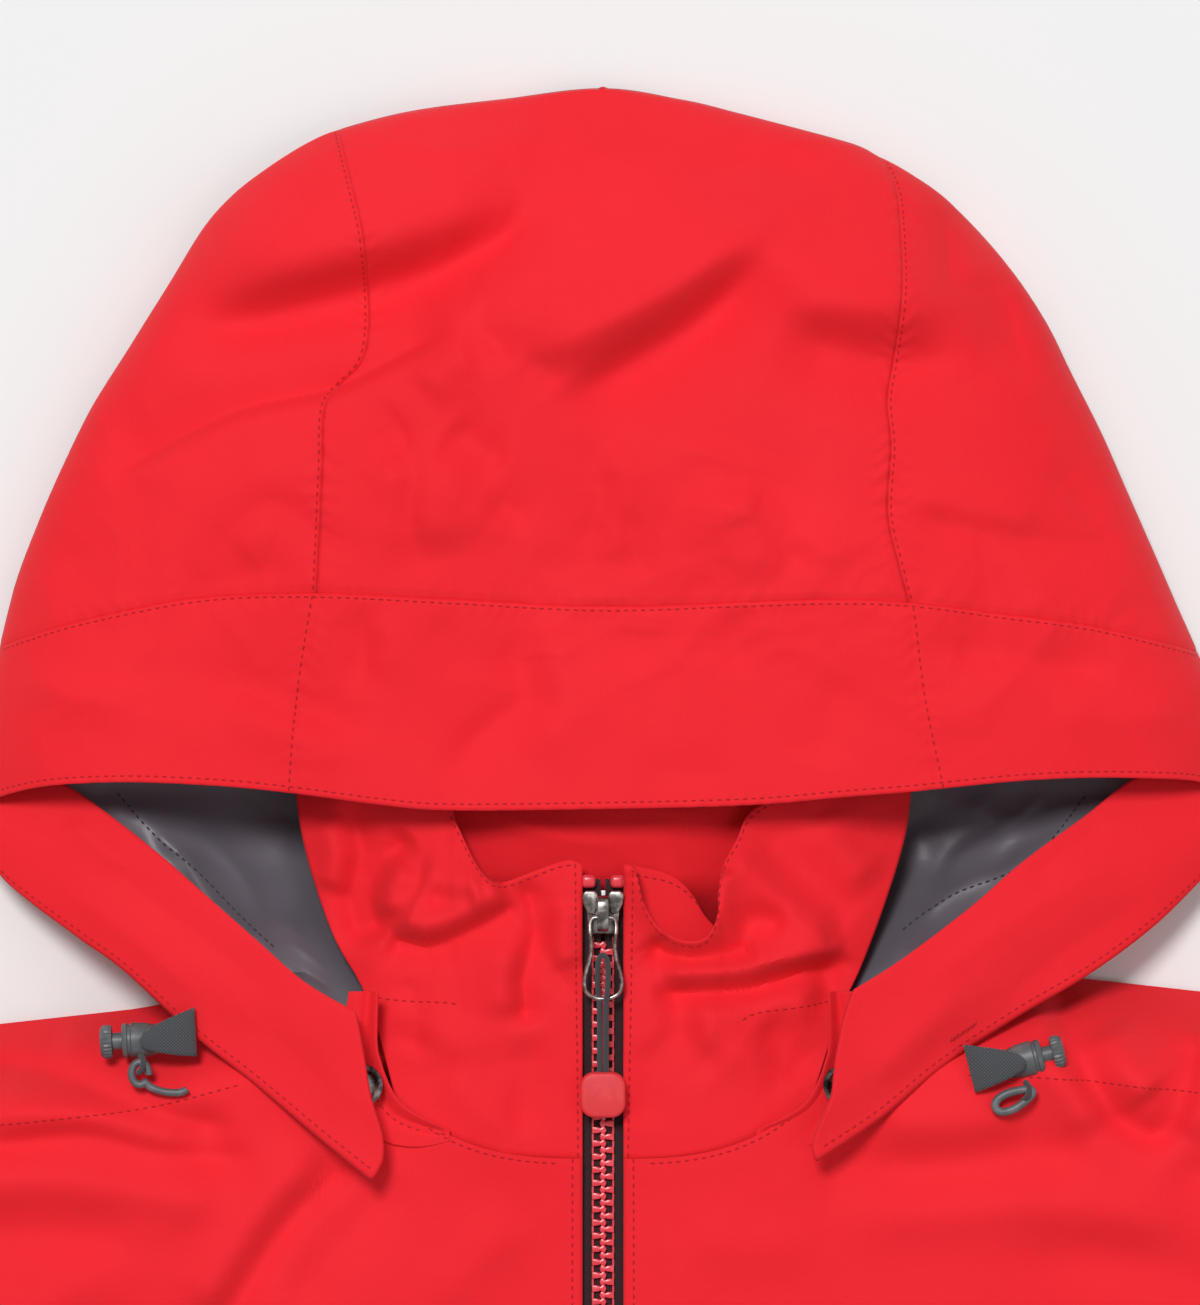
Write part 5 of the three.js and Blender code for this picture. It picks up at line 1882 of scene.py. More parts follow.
@dataclass
class ChinBand:
    """One front corner of the hood: a doubled band from the cheek to the snap."""

    side: Side
    lift: float = 38
    low: float = 10

    def patch(self) -> Patch:
        """The band's outline, from the cheek to the tip, lower edge first.

        Returns:
            The patch.
        """
        if self.side is Side.RIGHT:
            outer = ((170, 84), (161, 73), (142, 59), (129, 50), (110, 33), (93, 20), (76, 6), (62, -5))
            inner = ((164, 103), (148, 101), (136, 94), (120, 82), (107, 71), (93, 59), (80, 48), (66, 40))
            end = ((62, -5), (59, 0), (59, 7), (62, 17), (64, 29), (66, 40))
        else:
            outer = ((170, 82), (160, 72), (148, 61), (131, 49), (110, 37), (90, 24), (74, 11), (57, 0))
            inner = ((164, 105), (146, 103), (129, 91), (112, 79), (99, 68), (80, 54), (67, 46))
            end = ((57, 0), (56, 4), (58, 10), (61, 17), (62, 26), (64, 37), (67, 46))
        near = (outer[0], (171, 94), inner[0])
        return Patch(outer, inner, near, end)

    def height(self, u: Array) -> Array:
        """The band's height from the cheek (0) to the tip (1)."""
        return self.low + self.lift * np.clip(u, 0, 1) ** 0.8

    def place(self) -> Place:
        """The layout of the band's outer cloth.

        Returns:
            The layout.
        """
        patch = self.patch()

        def spread(u: Array, v: Array) -> Places:
            """Where the cloth lies.

            Args:
                u: share of the way across.
                v: share of the way along.

            Returns:
                x, y and z.
            """
            x, y = patch.spread(u, v)
            puff = 1.6 * np.sin(math.pi * np.clip(v, 0, 1)) ** 0.7
            hem = 0.5 * smooth(v, 0.0, 0.03)
            return self.side.value * x, y, self.height(u) + puff + hem - 1.2

        return spread

    def relief(self) -> Relief:
        """Soft folds along the band.

        Returns:
            The folds and creases.
        """
        s = self.side.value
        if self.side is Side.RIGHT:
            lines = (
                (((140, 84), (118, 66), (98, 52), (84, 40)), -1.4, 7),
                (((150, 76), (128, 60), (104, 40)), 1.6, 7),
                (((96, 44), (84, 30), (70, 16)), -1.2, 6),
                (((146, 92), (134, 82), (126, 76)), 1.4, 4),
            )
        else:
            lines = (
                (((142, 82), (120, 70), (98, 56), (80, 42)), 1.4, 7),
                (((152, 72), (128, 58), (106, 42)), -1.4, 7),
                (((100, 48), (84, 34), (70, 20)), 1.2, 6),
                (((138, 90), (124, 82), (112, 72)), -1.2, 4),
            )
        folds = tuple(Fold(tuple((s * x, y) for x, y in p), h, w, 1.5) for p, h, w in lines)
        return Relief(folds, Crumple(171 if s > 0 else 181, 0.5, 26))

    def build(self) -> None:
        """Builds the band and its stitching."""
        tag = self.side.tag
        place, relief = self.place(), self.relief()
        band = Cloth(f"chin_band_{tag}", place, 140, 44, relief=relief, thickness=1.4)
        piece = band.build(replaces=[f"hood_chin_{tag}"])
        t = np.linspace(0, 1, 400)
        edge = row_on(place, relief, 0.03 + 0.955 * t, np.full(400, 0.055))
        bar = row_on(place, relief, 0.62 + 0.06 * t, 0.13 + 0.02 * np.sin(60 * t))
        rows = [edge, bar] if self.side is Side.LEFT else [edge]
        stitch = Topstitch(f"chin_band_stitch_{tag}", rows).build()
        for one in (piece, stitch):
            self.bend(one)

    def bend(self, piece: bpy.types.Object) -> None:
        """Takes the band's cloth or stitches off the frame's body and bakes its place into its mesh.

        Args:
            piece: the band's cloth or its stitches.
        """
        del piece["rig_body"]
        piece.parent = None
        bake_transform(piece)


# ------------------------------------------------------------------ the front zip


@dataclass
class FrontZip:
    """The moulded front zip, closed, with its slider, pull and tapes."""

    body: Body
    thick: float = 2.5
    sink: float = 1.0
    pitch: float = 3.55
    slider_top: float = 72
    slider_length: float = 11.5
    slider_half: float = 5.7
    puller_length: float = 21
    grip: float = 12.2
    grip_thick: float = 4.2
    cord_length: float = 19

    def lay(self) -> Matrix:
        """The frame of the front cloth's slope, in metres, with its origin at the neck seam."""
        slope = math.atan(self.body.front_slope)
        return Matrix.Translation(at(0, 0, self.body.front_height)) @ Matrix.Rotation(slope, 4, "X")

    def build(self) -> None:
        """Builds every piece of the zip."""
        for side in Side:
            self.teeth(side)
            self.tape(side)
            self.stop(side)
        self.box()
        self.slider()
        self.puller()
        self.tail()

    def teeth(self, side: Side) -> None:
        """One row of moulded teeth whose heads reach past the middle.

        Args:
            side: which half of the jacket.
        """
        bm = bmesh.new()
        foot, head = -self.body.length + 14, self.slider_top - self.slider_length - 1
        count = int((head - foot) / self.pitch)
        outline = (
            (3.0, -0.95), (1.1, -0.75), (0.7, -0.55), (0.1, -1.0), (-0.55, -0.95), (-0.95, 0),
            (-0.55, 0.95), (0.1, 1.0), (0.7, 0.55), (1.1, 0.75), (3.0, 0.95)
        )
        centre = -self.sink - self.thick / 2
        shape = bmesh.new()
        face = shape.faces.new([shape.verts.new((x, y, 0)) for x, y in outline])
        out = bmesh.ops.extrude_face_region(shape, geom=[face])["geom"]
        bmesh.ops.translate(shape, verts=corners(out), vec=(0, 0, self.thick))
        bmesh.ops.translate(shape, verts=shape.verts[:], vec=(0, 0, -self.thick / 2))
        bmesh.ops.recalc_face_normals(shape, faces=shape.faces[:])
        top = [e for e in shape.edges if all(v.co.z > 0 for v in e.verts)]
        bmesh.ops.bevel(shape, geom=top, offset=0.4, affect="EDGES", segments=2, profile=0.5, material=-1)
        tooth = bpy.data.meshes.new("tooth")
        shape.to_mesh(tooth)
        shape.free()
        shift = 0 if side is Side.LEFT else self.pitch / 2
        for k in range(count):
            before = len(bm.verts)
            bm.from_mesh(tooth)
            bm.verts.ensure_lookup_table()
            new = bm.verts[before:]
            mirror = Matrix.Diagonal((side.value, 1, 1, 1))
            move = Matrix.Translation((0, foot + 1.2 + k * self.pitch + shift, centre))
            bmesh.ops.transform(bm, matrix=move @ mirror, verts=new)
        bpy.data.meshes.remove(tooth)
        spare = bmesh.ops.create_cube(bm, size=1.0)["verts"]
        middle = Matrix.Translation((side.value * 2.75, (foot + head) / 2, centre - 0.2))
        bead = middle @ Matrix.Diagonal((0.5, head - foot, 1.5, 1))
        bmesh.ops.transform(bm, matrix=bead, verts=spare)
        bmesh.ops.recalc_face_normals(bm, faces=bm.faces[:])
        bmesh.ops.scale(bm, vec=(MM, MM, MM), verts=bm.verts[:])
        bm.transform(self.lay())
        piece = finished(bm, f"teeth_{side.tag}", Finish.TEETH)
        mount(piece, "jacket", f"zip_teeth_{side.tag}")
        log.info("%s: %d teeth", piece.name, count)

    def tape(self, side: Side) -> None:
        """One woven tape, with the thick edge that carries the teeth.

        Args:
            side: which half of the jacket.
        """

        def place(u: Array, v: Array) -> Places:
            """Where the cloth lies.

            Args:
                u: share of the way across.
                v: share of the way along.

            Returns:
                x, y and z.
            """
            y = blend(-self.body.length + 1, self.slider_top + 3, v)
            x = blend(0.6, 14.0 - 4.6 * smooth(y, 46, 58), u)
            z = self.body.plane(y) - 2.6 - 0.5 * smooth(u, 0.3, 0.5)
            return side.value * x, y, z

        tape = Cloth(f"tape_{side.tag}", place, 24, 200, Finish.TAPE, thickness=0.5)
        tape.build(replaces=[f"zip_tape_{side.tag}"])

    def stop(self, side: Side) -> None:
        """The moulded stop at the top of one row.

        Args:
            side: which half of the jacket.
        """
        centre = self.lay() @ Vector((side.value * 3.9 * MM, (self.slider_top + 2.4) * MM, -1.3 * MM))
        piece = block_of(f"top_stop_{side.tag}", Finish.TEETH, (4.0, 3.6, 3.2), centre, 1.25, segments=5)
        mount(piece, "jacket", f"zip_top_stop_{side.tag}")

    def box(self) -> None:
        """The box and pin at the foot of the zip."""
        foot = -self.body.length + 14
        centre = self.lay() @ Vector((0, (foot - 6.4) * MM, -2.3 * MM))
        piece = block_of("zip_foot_box", Finish.TEETH, (5.8, 11.6, 2.6), centre, 0.7)
        mount(piece, "jacket", "zip_box")

    def slider(self) -> None:
        """The slider: a body with two raised shoulders, side flanges and the wide bridge over the puller."""
        top, foot, w = self.slider_top, self.slider_top - self.slider_length, self.slider_half
        lay = self.lay()
        bm = bmesh.new()
        deck = (
            (-w + 2.0, foot), (w - 2.0, foot), (w - 1.5, foot + 3.5), (w - 1.1, top - 4), (1.6, top - 1.2),
            (-1.6, top - 1.2), (-w + 1.1, top - 4), (-w + 1.5, foot + 3.5)
        )
        ear = (
            (1.5, top - 4.6), (1.4, top - 0.6), (2.2, top + 0.1), (4.7, top + 0.1), (w, top - 0.9),
            (w - 0.4, top - 3.4), (w - 1.6, top - 5.8), (2.4, top - 6.4)
        )
        shapes = ((deck, 0.4, 0.9), (ear, 0.4, 2.3), (tuple((-x, y) for x, y in ear[::-1]), 0.4, 2.3))
        for outline, low, tall in shapes:
            face = bm.faces.new([bm.verts.new((x, y, low)) for x, y in outline])
            out = bmesh.ops.extrude_face_region(bm, geom=[face])["geom"]
            bmesh.ops.translate(bm, verts=corners(out), vec=(0, 0, tall))
        bmesh.ops.recalc_face_normals(bm, faces=bm.faces[:])
        rims = [
            e
            for e in bm.edges
            if min(v.co.z for v in e.verts) > 1.0
            or e.calc_length() > 2.2
            and abs(e.verts[0].co.z - e.verts[1].co.z) > 1
        ]
        bmesh.ops.bevel(bm, geom=rims, offset=0.4, affect="EDGES", segments=3, profile=0.5, material=-1)
        for s in (-1, 1):
            flange = bmesh.ops.create_cube(bm, size=1.0)["verts"]
            middle = Matrix.Translation((s * 3.65, (top + foot) / 2 - 0.5, -0.5))
            shape = middle @ Matrix.Diagonal((0.9, self.slider_length - 1.2, 2.0, 1))
            bmesh.ops.transform(bm, matrix=shape, verts=flange)
        bmesh.ops.scale(bm, vec=(MM, MM, MM), verts=bm.verts[:])
        bm.transform(lay)
        plate = finished(bm, "slider_plate", Finish.NICKEL)
        arch = (
            (top - 1.4, 1.0), (top - 1.2, 3.4), (top - 1.9, 4.9), (top - 3.4, 5.6), (top - 6.5, 5.8),
            (top - 9.0, 5.4), (top - 10.4, 4.2), (top - 10.8, 2.6), (top - 10.8, 1.0)
        )
        bm = bmesh.new()
        path = rounded_line([Vector((-1.5, y, z)) for y, z in arch], 4)
        verts = [bm.verts.new(q) for q in path]
        edges = [bm.edges.new(pair) for pair in zip(verts, verts[1:])]
        out = bmesh.ops.extrude_edge_only(bm, edges=edges)["geom"]
        bmesh.ops.translate(bm, verts=corners(out), vec=(3.0, 0, 0))
        bmesh.ops.recalc_face_normals(bm, faces=bm.faces[:])
        bmesh.ops.solidify(bm, geom=bm.faces[:], thickness=0.9)
        bmesh.ops.recalc_face_normals(bm, faces=bm.faces[:])
        sharp = [e for e in bm.edges if len(e.link_faces) == 2 and e.calc_face_angle(0) > 1.0]
        bmesh.ops.bevel(bm, geom=sharp, offset=0.25, affect="EDGES", segments=2, profile=0.5, material=-1)
        bmesh.ops.scale(bm, vec=(MM, MM, MM), verts=bm.verts[:])
        bm.transform(lay)
        bridge = finished(bm, "slider_bridge", Finish.NICKEL)
        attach(plate, "zip_slider")
        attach(bridge, "zip_slider")
        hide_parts("slider_body")
        inner = block_of(
            "slider_inner_plate",
            Finish.NICKEL,
            (9.0, self.slider_length, 1.2),
            lay @ Vector((0, (top + foot) / 2 * MM, -4.5 * MM)),
            0.4,
        )
        mount(inner, "zip_slider", "slider_back_plate")

    def puller(self) -> None:
        """The wire puller: narrow at the bridge, pinched, then a wide loop."""
        hinge_y, hinge_z = self.slider_top - 7.5, 3.6
        half = (
            (0, 0.5), (2.5, 0.4), (3.4, -0.8), (3.4, -4), (3.1, -7), (3.5, -10.5), (4.5, -14), (5.0, -17),
            (4.3, -19.5), (2.2, -20.9), (0, -21.2)
        )
        ring = [(x, y) for x, y in half] + [(-x, y) for x, y in half[-2:0:-1]]
        lay = self.lay()
        points = [Vector((x * MM, (hinge_y + y) * MM, (hinge_z + 0.5 * (y < -3)) * MM)) for x, y in ring]
        path = rounded_line([*points, points[0]], 5)[:-1]
        piece = tube("puller_wire", Finish.NICKEL, [lay @ p for p in path], 0.6, closed=True, sides=5)
        mount(piece, "zip_puller", "zip_puller")

    def tail(self) -> None:
        """The cord through the puller and the moulded grip on its end."""
        hinge_y, z = self.slider_top - 7.5, 4.0
        ring = hinge_y - self.puller_length + 0.7
        end = ring - 0.7 - 0.4 - self.cord_length
        lay = self.lay()
        loop = [
            (-0.85, end - 1, z), (-0.85, end + 8, z), (-0.9, ring - 2.5, z - 0.2),
            (-1.2, ring + 0.4, z - 1.3), (-1.5, ring + 4.0, z - 0.6), (-1.3, ring + 8.6, z + 0.3),
            (-0.6, ring + 10.6, z + 0.8), (0.5, ring + 10.6, z + 0.8), (1.3, ring + 8.4, z + 0.5),
            (1.3, ring + 4.0, z + 0.9), (1.1, ring + 0.4, z + 1.7), (0.9, ring - 2.5, z + 0.9),
            (0.85, end + 8, z + 0.1), (0.85, end - 1, z)
        ]
        path = rounded_line([Vector(p) * MM for p in loop], 5)
        cord = tube("pull_cord_loop", Finish.CORD, [lay @ p for p in path], 0.74)
        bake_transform(cord)
        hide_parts("pull_cord")
        bm = bmesh.new()
        bmesh.ops.create_cube(
            bm, size=1.0, matrix=Matrix.Diagonal((self.grip, self.grip, self.grip_thick, 1))
        )
        edges = [e for e in bm.edges if abs(e.verts[0].co.z - e.verts[1].co.z) > 1]
        bmesh.ops.bevel(bm, geom=edges, offset=3.9, affect="EDGES", segments=8, profile=0.5, material=-1)
        rims = [e for e in bm.edges if abs(e.verts[0].co.z - e.verts[1].co.z) < 1e-6]
        bmesh.ops.bevel(bm, geom=rims, offset=1.0, affect="EDGES", segments=4, profile=0.5, material=-1)
        bmesh.ops.translate(bm, verts=bm.verts[:], vec=(0, end - 0.4 - self.grip / 2, z - 0.3))
        bmesh.ops.scale(bm, vec=(MM, MM, MM), verts=bm.verts[:])
        bm.transform(lay)
        grip = finished(bm, "pull_grip_moulding", Finish.GRIP)
        mount(grip, "pull_tail", "pull_grip")


# ------------------------------------------------------------------ snaps, cord locks and pockets


@dataclass
class Trims:
    """The small hardware, the same on both sides."""

    body: Body
    snap_x: float = 64.5
    snap_y: float = 20
    pocket_x: float = 167
    pocket_y: float = -480
    pocket_turn: float = 0.21
    pocket_length: float = 165

    def build(self) -> None:
        """Builds the trims of both sides."""
        for side in Side:
            self.snap(side)
            self.flap(side)
            self.hood_lock(side)
            self.hem_lock(side)
            self.pocket(side)
        self.hanger()

    def disc(self, name: str, side: Side, radii: Line, z: float) -> bpy.types.Object:
        """A turned disc at the snap, from its profile of radius and height.

        Args:
            name: the piece's name.
            side: which half of the jacket.
            radii: radius and height of each point.
            z: the height of its foot, in millimetres.

        Returns:
            The new piece.
        """
        bm = turned(radii, (0, 0, 1), 40)
        bmesh.ops.recalc_face_normals(bm, faces=bm.faces[:])
        bmesh.ops.scale(bm, vec=(MM, MM, MM), verts=bm.verts[:])
        bm.transform(Matrix.Translation(at(side.value * self.snap_x, self.snap_y, z)))
        return finished(bm, name, Finish.GUNMETAL)

    def snap(self, side: Side) -> None:
        """The snap's stud on the neck flap and its socket under the hood's corner.

        Args:
            side: which half of the jacket.
        """
        foot = float(self.body.plane(self.snap_y)) + 2.4
        stud = self.disc(
            f"stud_{side.tag}", side,
            ((0, 0), (5.2, 0), (5.6, 0.3), (5.4, 0.7), (3.2, 0.9), (2.6, 1.5), (0, 1.5)), foot
        )
        mount(stud, "jacket", f"snap_stud_{side.tag}")
        socket = self.disc(
            f"socket_{side.tag}", side,
            ((0, 1.9), (5.0, 1.9), (5.6, 2.2), (5.6, 3.4), (4.6, 3.9), (3.6, 3.6), (2.8, 4.1), (0, 4.1)),
            foot
        )
        mount(socket, f"hood_corner_{side.tag}", f"snap_socket_{side.tag}")

    def flap(self, side: Side) -> None:
        """The narrow flap at the neck seam that carries the stud.

        Args:
            side: which half of the jacket.
        """
        s = side.value
        inner = ((60.2, 45), (60.5, 31.5), (59.6, 26.7), (57.5, 20.6), (54, 15), (47.3, 10.7), (41, 7.8))
        outer = ((68, 45), (70, 31), (69, 22), (66, 12), (59, 5), (50, 3.2), (41, 4.8))
        patch = Patch(inner, outer, (inner[0], outer[0]), (inner[-1], outer[-1]))

        def place(u: Array, v: Array) -> Places:
            """Where the cloth lies.

            Args:
                u: share of the way across.
                v: share of the way along.

            Returns:
                x, y and z.
            """
            x, y = patch.spread(u, v)
            rib = 1.5 * np.exp(-((v / 0.16) ** 2)) - 0.9 * np.exp(-(((v - 0.34) / 0.14) ** 2))
            return s * x, y, self.body.plane(y) + 1.0 + rib * smooth(1 - u, 0.0, 0.12) + 0.8 * (1 - u)

        flap = Cloth(f"neck_flap_cloth_{side.tag}", place, 90, 22, thickness=0.7)
        flap.build(replaces=[f"neck_flap_{side.tag}"])
        t = np.linspace(0.5, 0.99, 120)
        row = row_on(place, Relief(), t, np.full(120, 0.42))
        Topstitch(f"neck_flap_stitch_{side.tag}", [row]).build()

    def lock(
        self, kind: str, side: Side, frame_: Matrix, length: float = 11.0, radius: float = 5.0,
        ribs: bool = False
    ) -> None:
        """A barrel cord lock: a ribbed housing and its sprung button.

        Args:
            kind: hood or hem, as in the names.
            side: which half of the jacket.
            frame_: where the lock stands.
            length: the barrel's length.
            radius: the barrel's radius.
            ribs: whether the button is ribbed.
        """
        s = side.value
        profile = [
            (-3.4, 0), (-3.0, 1.3), (-1.2, 2.9), (1.4, radius - 1.0), (4.5, radius - 0.25),
            (length - 2.6, radius), (length - 2.2, radius - 0.5), (length - 1.6, radius - 0.5),
            (length - 1.3, radius), (length - 0.4, radius - 0.2), (length, radius - 0.7), (length, 3.3),
            (3.2, 3.2), (3.0, 0)
        ]
        bm = turned(profile, (1, 0, 0), 40)
        bmesh.ops.recalc_face_normals(bm, faces=bm.faces[:])
        bmesh.ops.scale(bm, vec=(s * MM, MM * 0.96, MM * 0.86), verts=bm.verts[:])
        if s < 0:
            bmesh.ops.reverse_faces(bm, faces=bm.faces[:])
        bm.transform(frame_)
        housing = finished(bm, f"{kind}_lock_barrel_{side.tag}", Finish.TRIM)
        mount(housing, "jacket", f"{kind}_lock_housing_{side.tag}")
        cap = 13.4  # where the cap starts along the lock
        steps = 48
        profile = [
            (5.9, 0), (5.9, 2.3), (13.7, 2.3), (13.8, 4.2), (14.6, 4.5), (15.8, 4.5), (16.4, 4.2),
            (16.9, 3.5), (16.9, 0)
        ]
        bm = turned(profile, (1, 0, 0), steps)
        for v in bm.verts:
            if ribs and math.hypot(v.co.y, v.co.z) > 4.0 and v.co.x > cap:
                turn = round(math.atan2(v.co.z, v.co.y) / (2 * math.pi / steps))
                v.co.y *= 0.93 if turn % 2 else 1.0
                v.co.z *= 0.93 if turn % 2 else 1.0
        bmesh.ops.recalc_face_normals(bm, faces=bm.faces[:])
        bmesh.ops.scale(bm, vec=(s * MM, MM, MM * 0.9), verts=bm.verts[:])
        if s < 0:
            bmesh.ops.reverse_faces(bm, faces=bm.faces[:])
        bm.transform(frame_)
        button = finished(bm, f"{kind}_lock_cap_{side.tag}", Finish.TRIM)
        mount(button, f"{kind}_lock_button_{side.tag}", f"{kind}_lock_button_{side.tag}")

    def hood_lock(self, side: Side) -> None:
        """The hood's cord lock on its webbing, with the cord's hook below it.

        Args:
            side: which half of the jacket.
        """
        s = side.value
        low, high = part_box(f"hood_lock_housing_{side.tag}")
        start = Vector((low.x if s > 0 else high.x, (low.y + high.y) / 2, (low.z + high.z) / 2))
        tilt = math.radians(14 if side is Side.LEFT else -3) * s
        turn = Matrix.Rotation(tilt, 4, "Z")
        frame_ = Matrix.Translation(start) @ turn
        self.lock("hood", side, frame_, ribs=True)
        bm = bmesh.new()
        bmesh.ops.create_grid(bm, x_segments=14, y_segments=10, size=0.5)
        for v in bm.verts:
            u, w = v.co.x + 0.5, v.co.y + 0.5
            x = -9.0 + 15.0 * u
            y = (1.0 + 5.6 * (1 - u) ** 0.6) * (w - 0.5) * 2 + 1.6 * (1 - u)
            z = 5.3 + 0.9 * math.cos((w - 0.5) * 2.6) - 0.05 * (x + 3) ** 2 * (x < -3)
            v.co = Vector((s * x * MM, y * MM, z * MM))
        if s < 0:
            bmesh.ops.reverse_faces(bm, faces=bm.faces[:])
        bm.transform(frame_)
        strap = finished(bm, f"lock_webbing_{side.tag}", Finish.WEBBING)
        wall = strap.modifiers.new("webbing thickness", "SOLIDIFY")
        wall.thickness = 1.1 * MM
        mount(strap, "jacket", f"lock_strap_{side.tag}")
        self.hook(side)

    def hook(self, side: Side) -> None:
        """The moulded hook on the cord's end: an eye with a tail, or seen from its other side a long loop.

        Args:
            side: which half of the jacket.
        """
        s = side.value
        low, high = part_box(f"cord_toggle_{side.tag}")
        z = (low.z + high.z) / 2 + 1.0 * MM
        if side is Side.RIGHT:
            eye = Vector((low.x + 3.6 * MM, high.y - 3.6 * MM, z))
            ring = [
                Vector((math.cos(a) * 2.3, math.sin(a) * 3.0, 0))
                for a in np.linspace(-0.35, 1.72 * math.pi, 26)
            ]
            tail = [
                Vector((2.6, -3.6, 0)), Vector((5.4, -4.7, 0)), Vector((8.6, -5.2, 0)),
                Vector((11.4, -5.0, 0)), Vector((12.6, -4.2, 0))
            ]
            path = [eye + p * MM for p in rounded_line([*ring[1:], *tail], 2)]
            hook = tube(f"cord_hook_{side.tag}", Finish.TRIM, path, 1.05)
        else:
            mid = Vector(((low.x + high.x) / 2 + 1.2 * MM, (low.y + high.y) / 2 + 1.0 * MM, z))
            turn = Matrix.Rotation(math.radians(24), 4, "Z")
            ring = [
                Vector(
                    (
                        math.cos(a) * 5.4 * (1.0 + 0.08 * math.cos(a)),
                        math.sin(a) * (2.2 - 0.5 * math.cos(a)), 0
                    )
                )
                for a in np.linspace(0, 2 * math.pi, 40, endpoint=False)
            ]
            hook = tube(
                f"cord_hook_{side.tag}", Finish.TRIM, [mid + (turn @ p) * MM for p in ring], 1.15,
                closed=True
            )
        link_path = rounded_line(
            [
                Vector((0, 4.8, -1.2)), Vector((0.9, 3.4, 0.6)), Vector((0.6, 1.4, 1.6)),
                Vector((-0.4, 0.2, 0.2))
            ], 5
        )
        base = Vector(((low.x + 3.6 * MM) if s < 0 else (high.x - 3.6 * MM), high.y - 3.6 * MM, z))
        link = tube(f"cord_link_{side.tag}", Finish.CORD, [base + p * MM for p in link_path], 0.8)
        for piece in (hook, link):
            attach(piece, f"cord_toggle_{side.tag}")
        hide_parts(f"cord_toggle_{side.tag}")

    def hem_lock(self, side: Side) -> None:
        """The cord lock at the hem.

        Args:
            side: which half of the jacket.
        """
        lay = FrontZip(self.body).lay()
        place = lay @ Matrix.Translation(
            Vector((side.value * 150 * MM, (-self.body.length + 9) * MM, 5.4 * MM))
        )
        self.lock("hem", side, place)

    def pocket(self, side: Side) -> None:
        """A hand pocket's zip with its slider and pull.

        Args:
            side: which half of the jacket.
        """
        s = side.value
        lay = FrontZip(self.body).lay()
        place = lay @ Matrix.Translation(Vector((s * self.pocket_x * MM, self.pocket_y * MM, 0)))
        place = place @ Matrix.Rotation(s * self.pocket_turn, 4, "Z")
        bm = bmesh.new()
        tape = Matrix.Diagonal((9 * MM, self.pocket_length * MM, 1.1 * MM, 1))
        bmesh.ops.create_cube(bm, size=1.0, matrix=Matrix.Translation((0, 0, 1.0 * MM)) @ tape)
        bmesh.ops.bevel(
            bm, geom=bm.edges[:], offset=0.4 * MM, affect="EDGES", segments=2, profile=0.5, material=-1
        )
        count, pitch = 78, 2.05
        for k in range(count):
            tooth = bmesh.ops.create_cube(bm, size=1.0)["verts"]
            shape = Matrix.Translation((0, (-79 + k * pitch) * MM, 1.75 * MM))
            shape = shape @ Matrix.Rotation(0.5 if k % 2 else -0.5, 4, "Z")
            shape = shape @ Matrix.Diagonal((3.4 * MM, 0.9 * MM, 0.5 * MM, 1))
            bmesh.ops.transform(bm, matrix=shape, verts=tooth)
        bm.transform(place)
        zip_ = finished(bm, f"pocket_chain_{side.tag}", Finish.TAPE)
        mount(zip_, "jacket", f"pocket_zip_{side.tag}")
        rest = self.pocket_length / 2 - 12
        slider = block_of(
            f"pocket_slider_plate_{side.tag}", Finish.NICKEL, (7.2, 9, 1.2),
            place @ Vector((0, (rest + 4.5) * MM, 3.4 * MM)), 0.5, place.to_3x3().to_4x4()
        )
        mount(slider, f"pocket_slider_{side.tag}", f"pocket_slider_{side.tag}")
        pull = block_of(
            f"pocket_pull_{side.tag}", Finish.GRIP, (5.2, 24, 1.6),
            place @ Vector((0, (rest - 10) * MM, 5.2 * MM)), 0.55, place.to_3x3().to_4x4()
        )
        mount(pull, f"pocket_puller_{side.tag}", f"pocket_puller_{side.tag}")

    def hanger(self) -> None:
        """The hanging loop inside the collar, as a bent tape."""
        low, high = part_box("hanger_loop")
        mid = (low.y + high.y) / 2
        path = [
            (low.x, low.z), (low.x, high.z - 2 * MM), (low.x + 3 * MM, high.z), (0.0, high.z),
            (high.x - 3 * MM, high.z), (high.x, high.z - 2 * MM), (high.x, low.z)
        ]
        bm = bmesh.new()
        verts = [bm.verts.new((x * 0.97, mid - 3.5 * MM, z)) for x, z in path]
        edges = [bm.edges.new(pair) for pair in zip(verts, verts[1:])]
        out = bmesh.ops.extrude_edge_only(bm, edges=edges)["geom"]
        bmesh.ops.translate(bm, verts=corners(out), vec=(0, 7 * MM, 0))
        piece = finished(bm, "hanger_tape", Finish.WEBBING)
        wall = piece.modifiers.new("tape thickness", "SOLIDIFY")
        wall.thickness = 0.9 * MM
        mount(piece, "jacket", "hanger_loop")


# ------------------------------------------------------------------ the studio


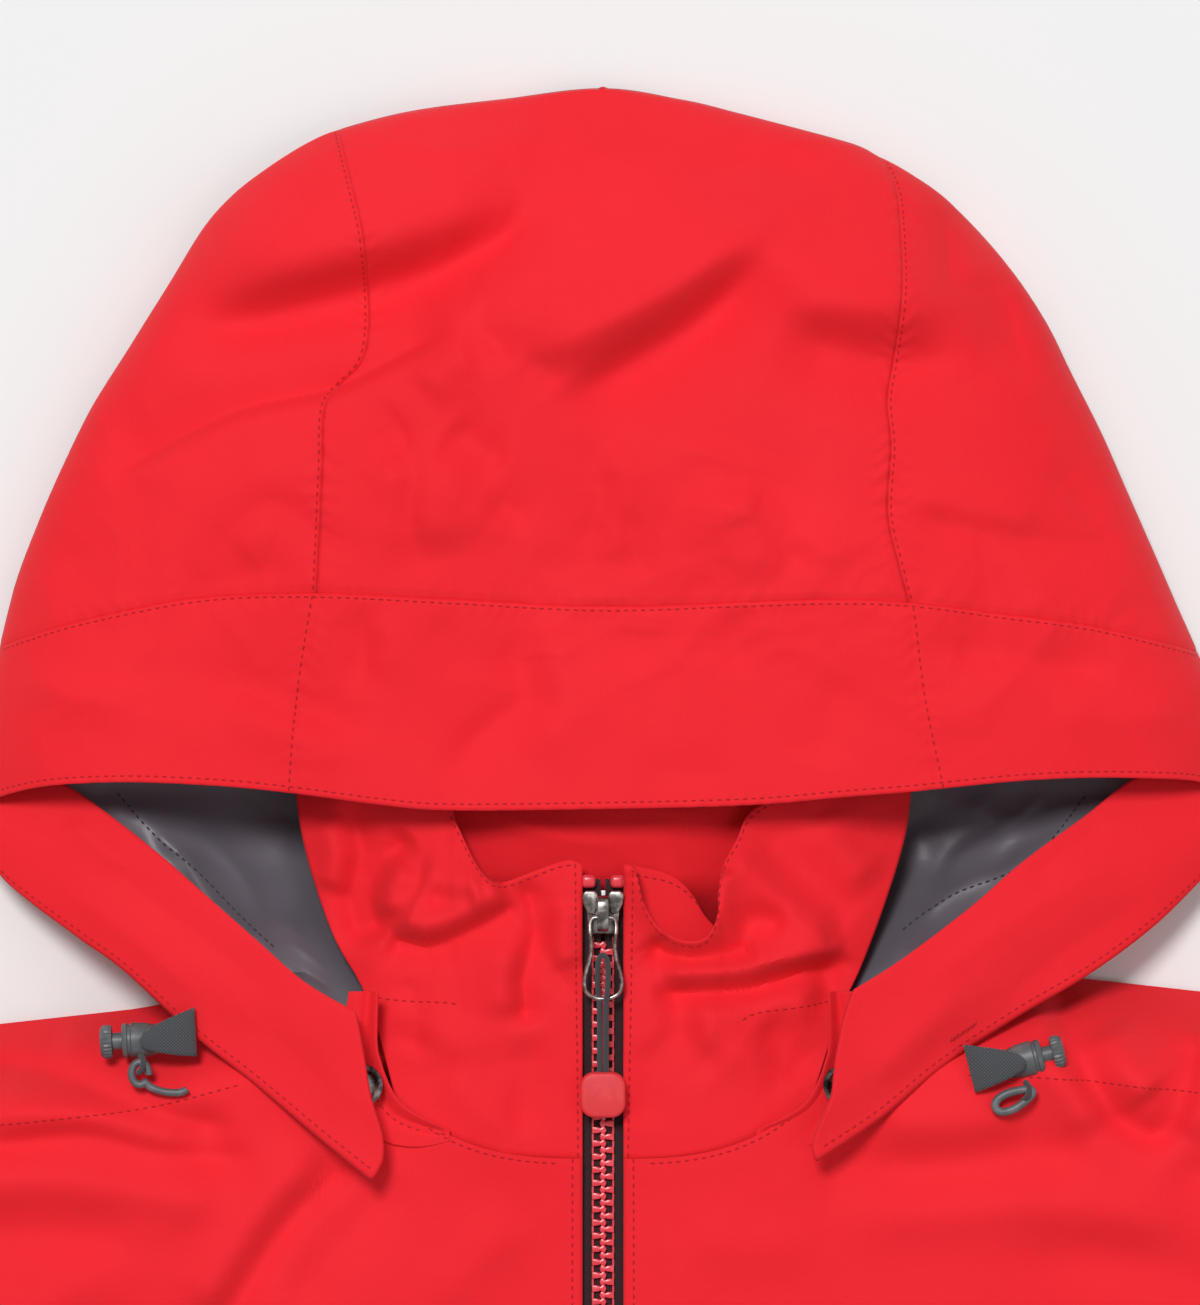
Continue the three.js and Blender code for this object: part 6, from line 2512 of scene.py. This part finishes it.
@dataclass
class Studio:
    """A pale floor, soft light from above left and the camera straight overhead."""

    distance: float = 2.0
    view_height: float = 0.349
    centre: tuple[float, float] = (-0.8, 135.7)

    def build(self) -> None:
        """Builds the floor, lights and camera."""
        bm = bmesh.new()
        bmesh.ops.create_grid(bm, x_segments=2, y_segments=2, size=30.0)
        bmesh.ops.translate(bm, verts=bm.verts[:], vec=(0, 0, -0.0006))
        mesh = bpy.data.meshes.new("floor")
        bm.to_mesh(mesh)
        bm.free()
        floor = bpy.data.objects.new("floor", mesh)
        bpy.context.scene.collection.objects.link(floor)
        paper = Nodes("Paper floor")
        paper.link(
            paper.mix(paper.noise(3, 2), (0.815, 0.82, 0.82), (0.83, 0.835, 0.835)),
            paper.shader.inputs["Base Color"]
        )
        paper.set(Roughness=0.95, Specular_IOR_Level=0.1)
        mesh.materials.append(paper.material)
        self.light("key", (-1.12, 2.82, 6.03), 1.6, 298)
        self.light("fill", (1.9, -0.4, 2.6), 2.4, 13.5)
        world = bpy.data.worlds.new("soft room")
        world.use_nodes = True
        world.node_tree.nodes["Background"].inputs["Color"].default_value = (1, 1, 1, 1)
        world.node_tree.nodes["Background"].inputs["Strength"].default_value = 0.36
        bpy.context.scene.world = world
        self.camera()
        view = bpy.context.scene.view_settings
        view.view_transform = "Standard"
        view.look = "None"

    def light(self, name: str, place: tuple[float, float, float], size: float, power: float) -> None:
        """A square soft light aimed at the jacket.

        Args:
            name: the lamp's name.
            place: where it stands, in metres.
            size: the length of its sides, in metres.
            power: its power in watts.
        """
        data = bpy.data.lights.new(name, "AREA")
        data.size = size
        data.energy = power
        lamp = bpy.data.objects.new(name, data)
        lamp.location = place
        lamp.rotation_euler = (Vector((0, 0.3, 0)) - Vector(place)).to_track_quat("-Z", "Y").to_euler()
        bpy.context.scene.collection.objects.link(lamp)

    def camera(self) -> None:
        """The camera looks straight down at the hood and collar."""
        data = bpy.data.cameras.new("camera")
        data.sensor_width = 36
        data.lens = 36 * self.distance / self.view_height
        cam = bpy.data.objects.new("camera", data)
        cam.location = at(self.centre[0], self.centre[1], 0) + Vector((0, 0, self.distance + 0.04))
        bpy.context.scene.collection.objects.link(cam)
        bpy.context.scene.camera = cam


def main() -> None:
    """Builds the sub-assemblies in order and reports each piece."""
    logging.basicConfig(level=logging.INFO, format="%(name)s: %(message)s")
    Studio().build()
    body = Body()
    sleeves = [Sleeve(side, body) for side in Side]
    for part in (body, *sleeves, Collar(body), Hood(), FrontZip(body), Trims(body)):
        before = set(bpy.data.objects)
        part.build()
        for piece in bpy.data.objects:
            if piece not in before:
                log.info(
                    "%s: built %s with %d faces", type(part).__name__, piece.name, len(piece.data.polygons)
                )


if __name__ == "__main__":
    main()
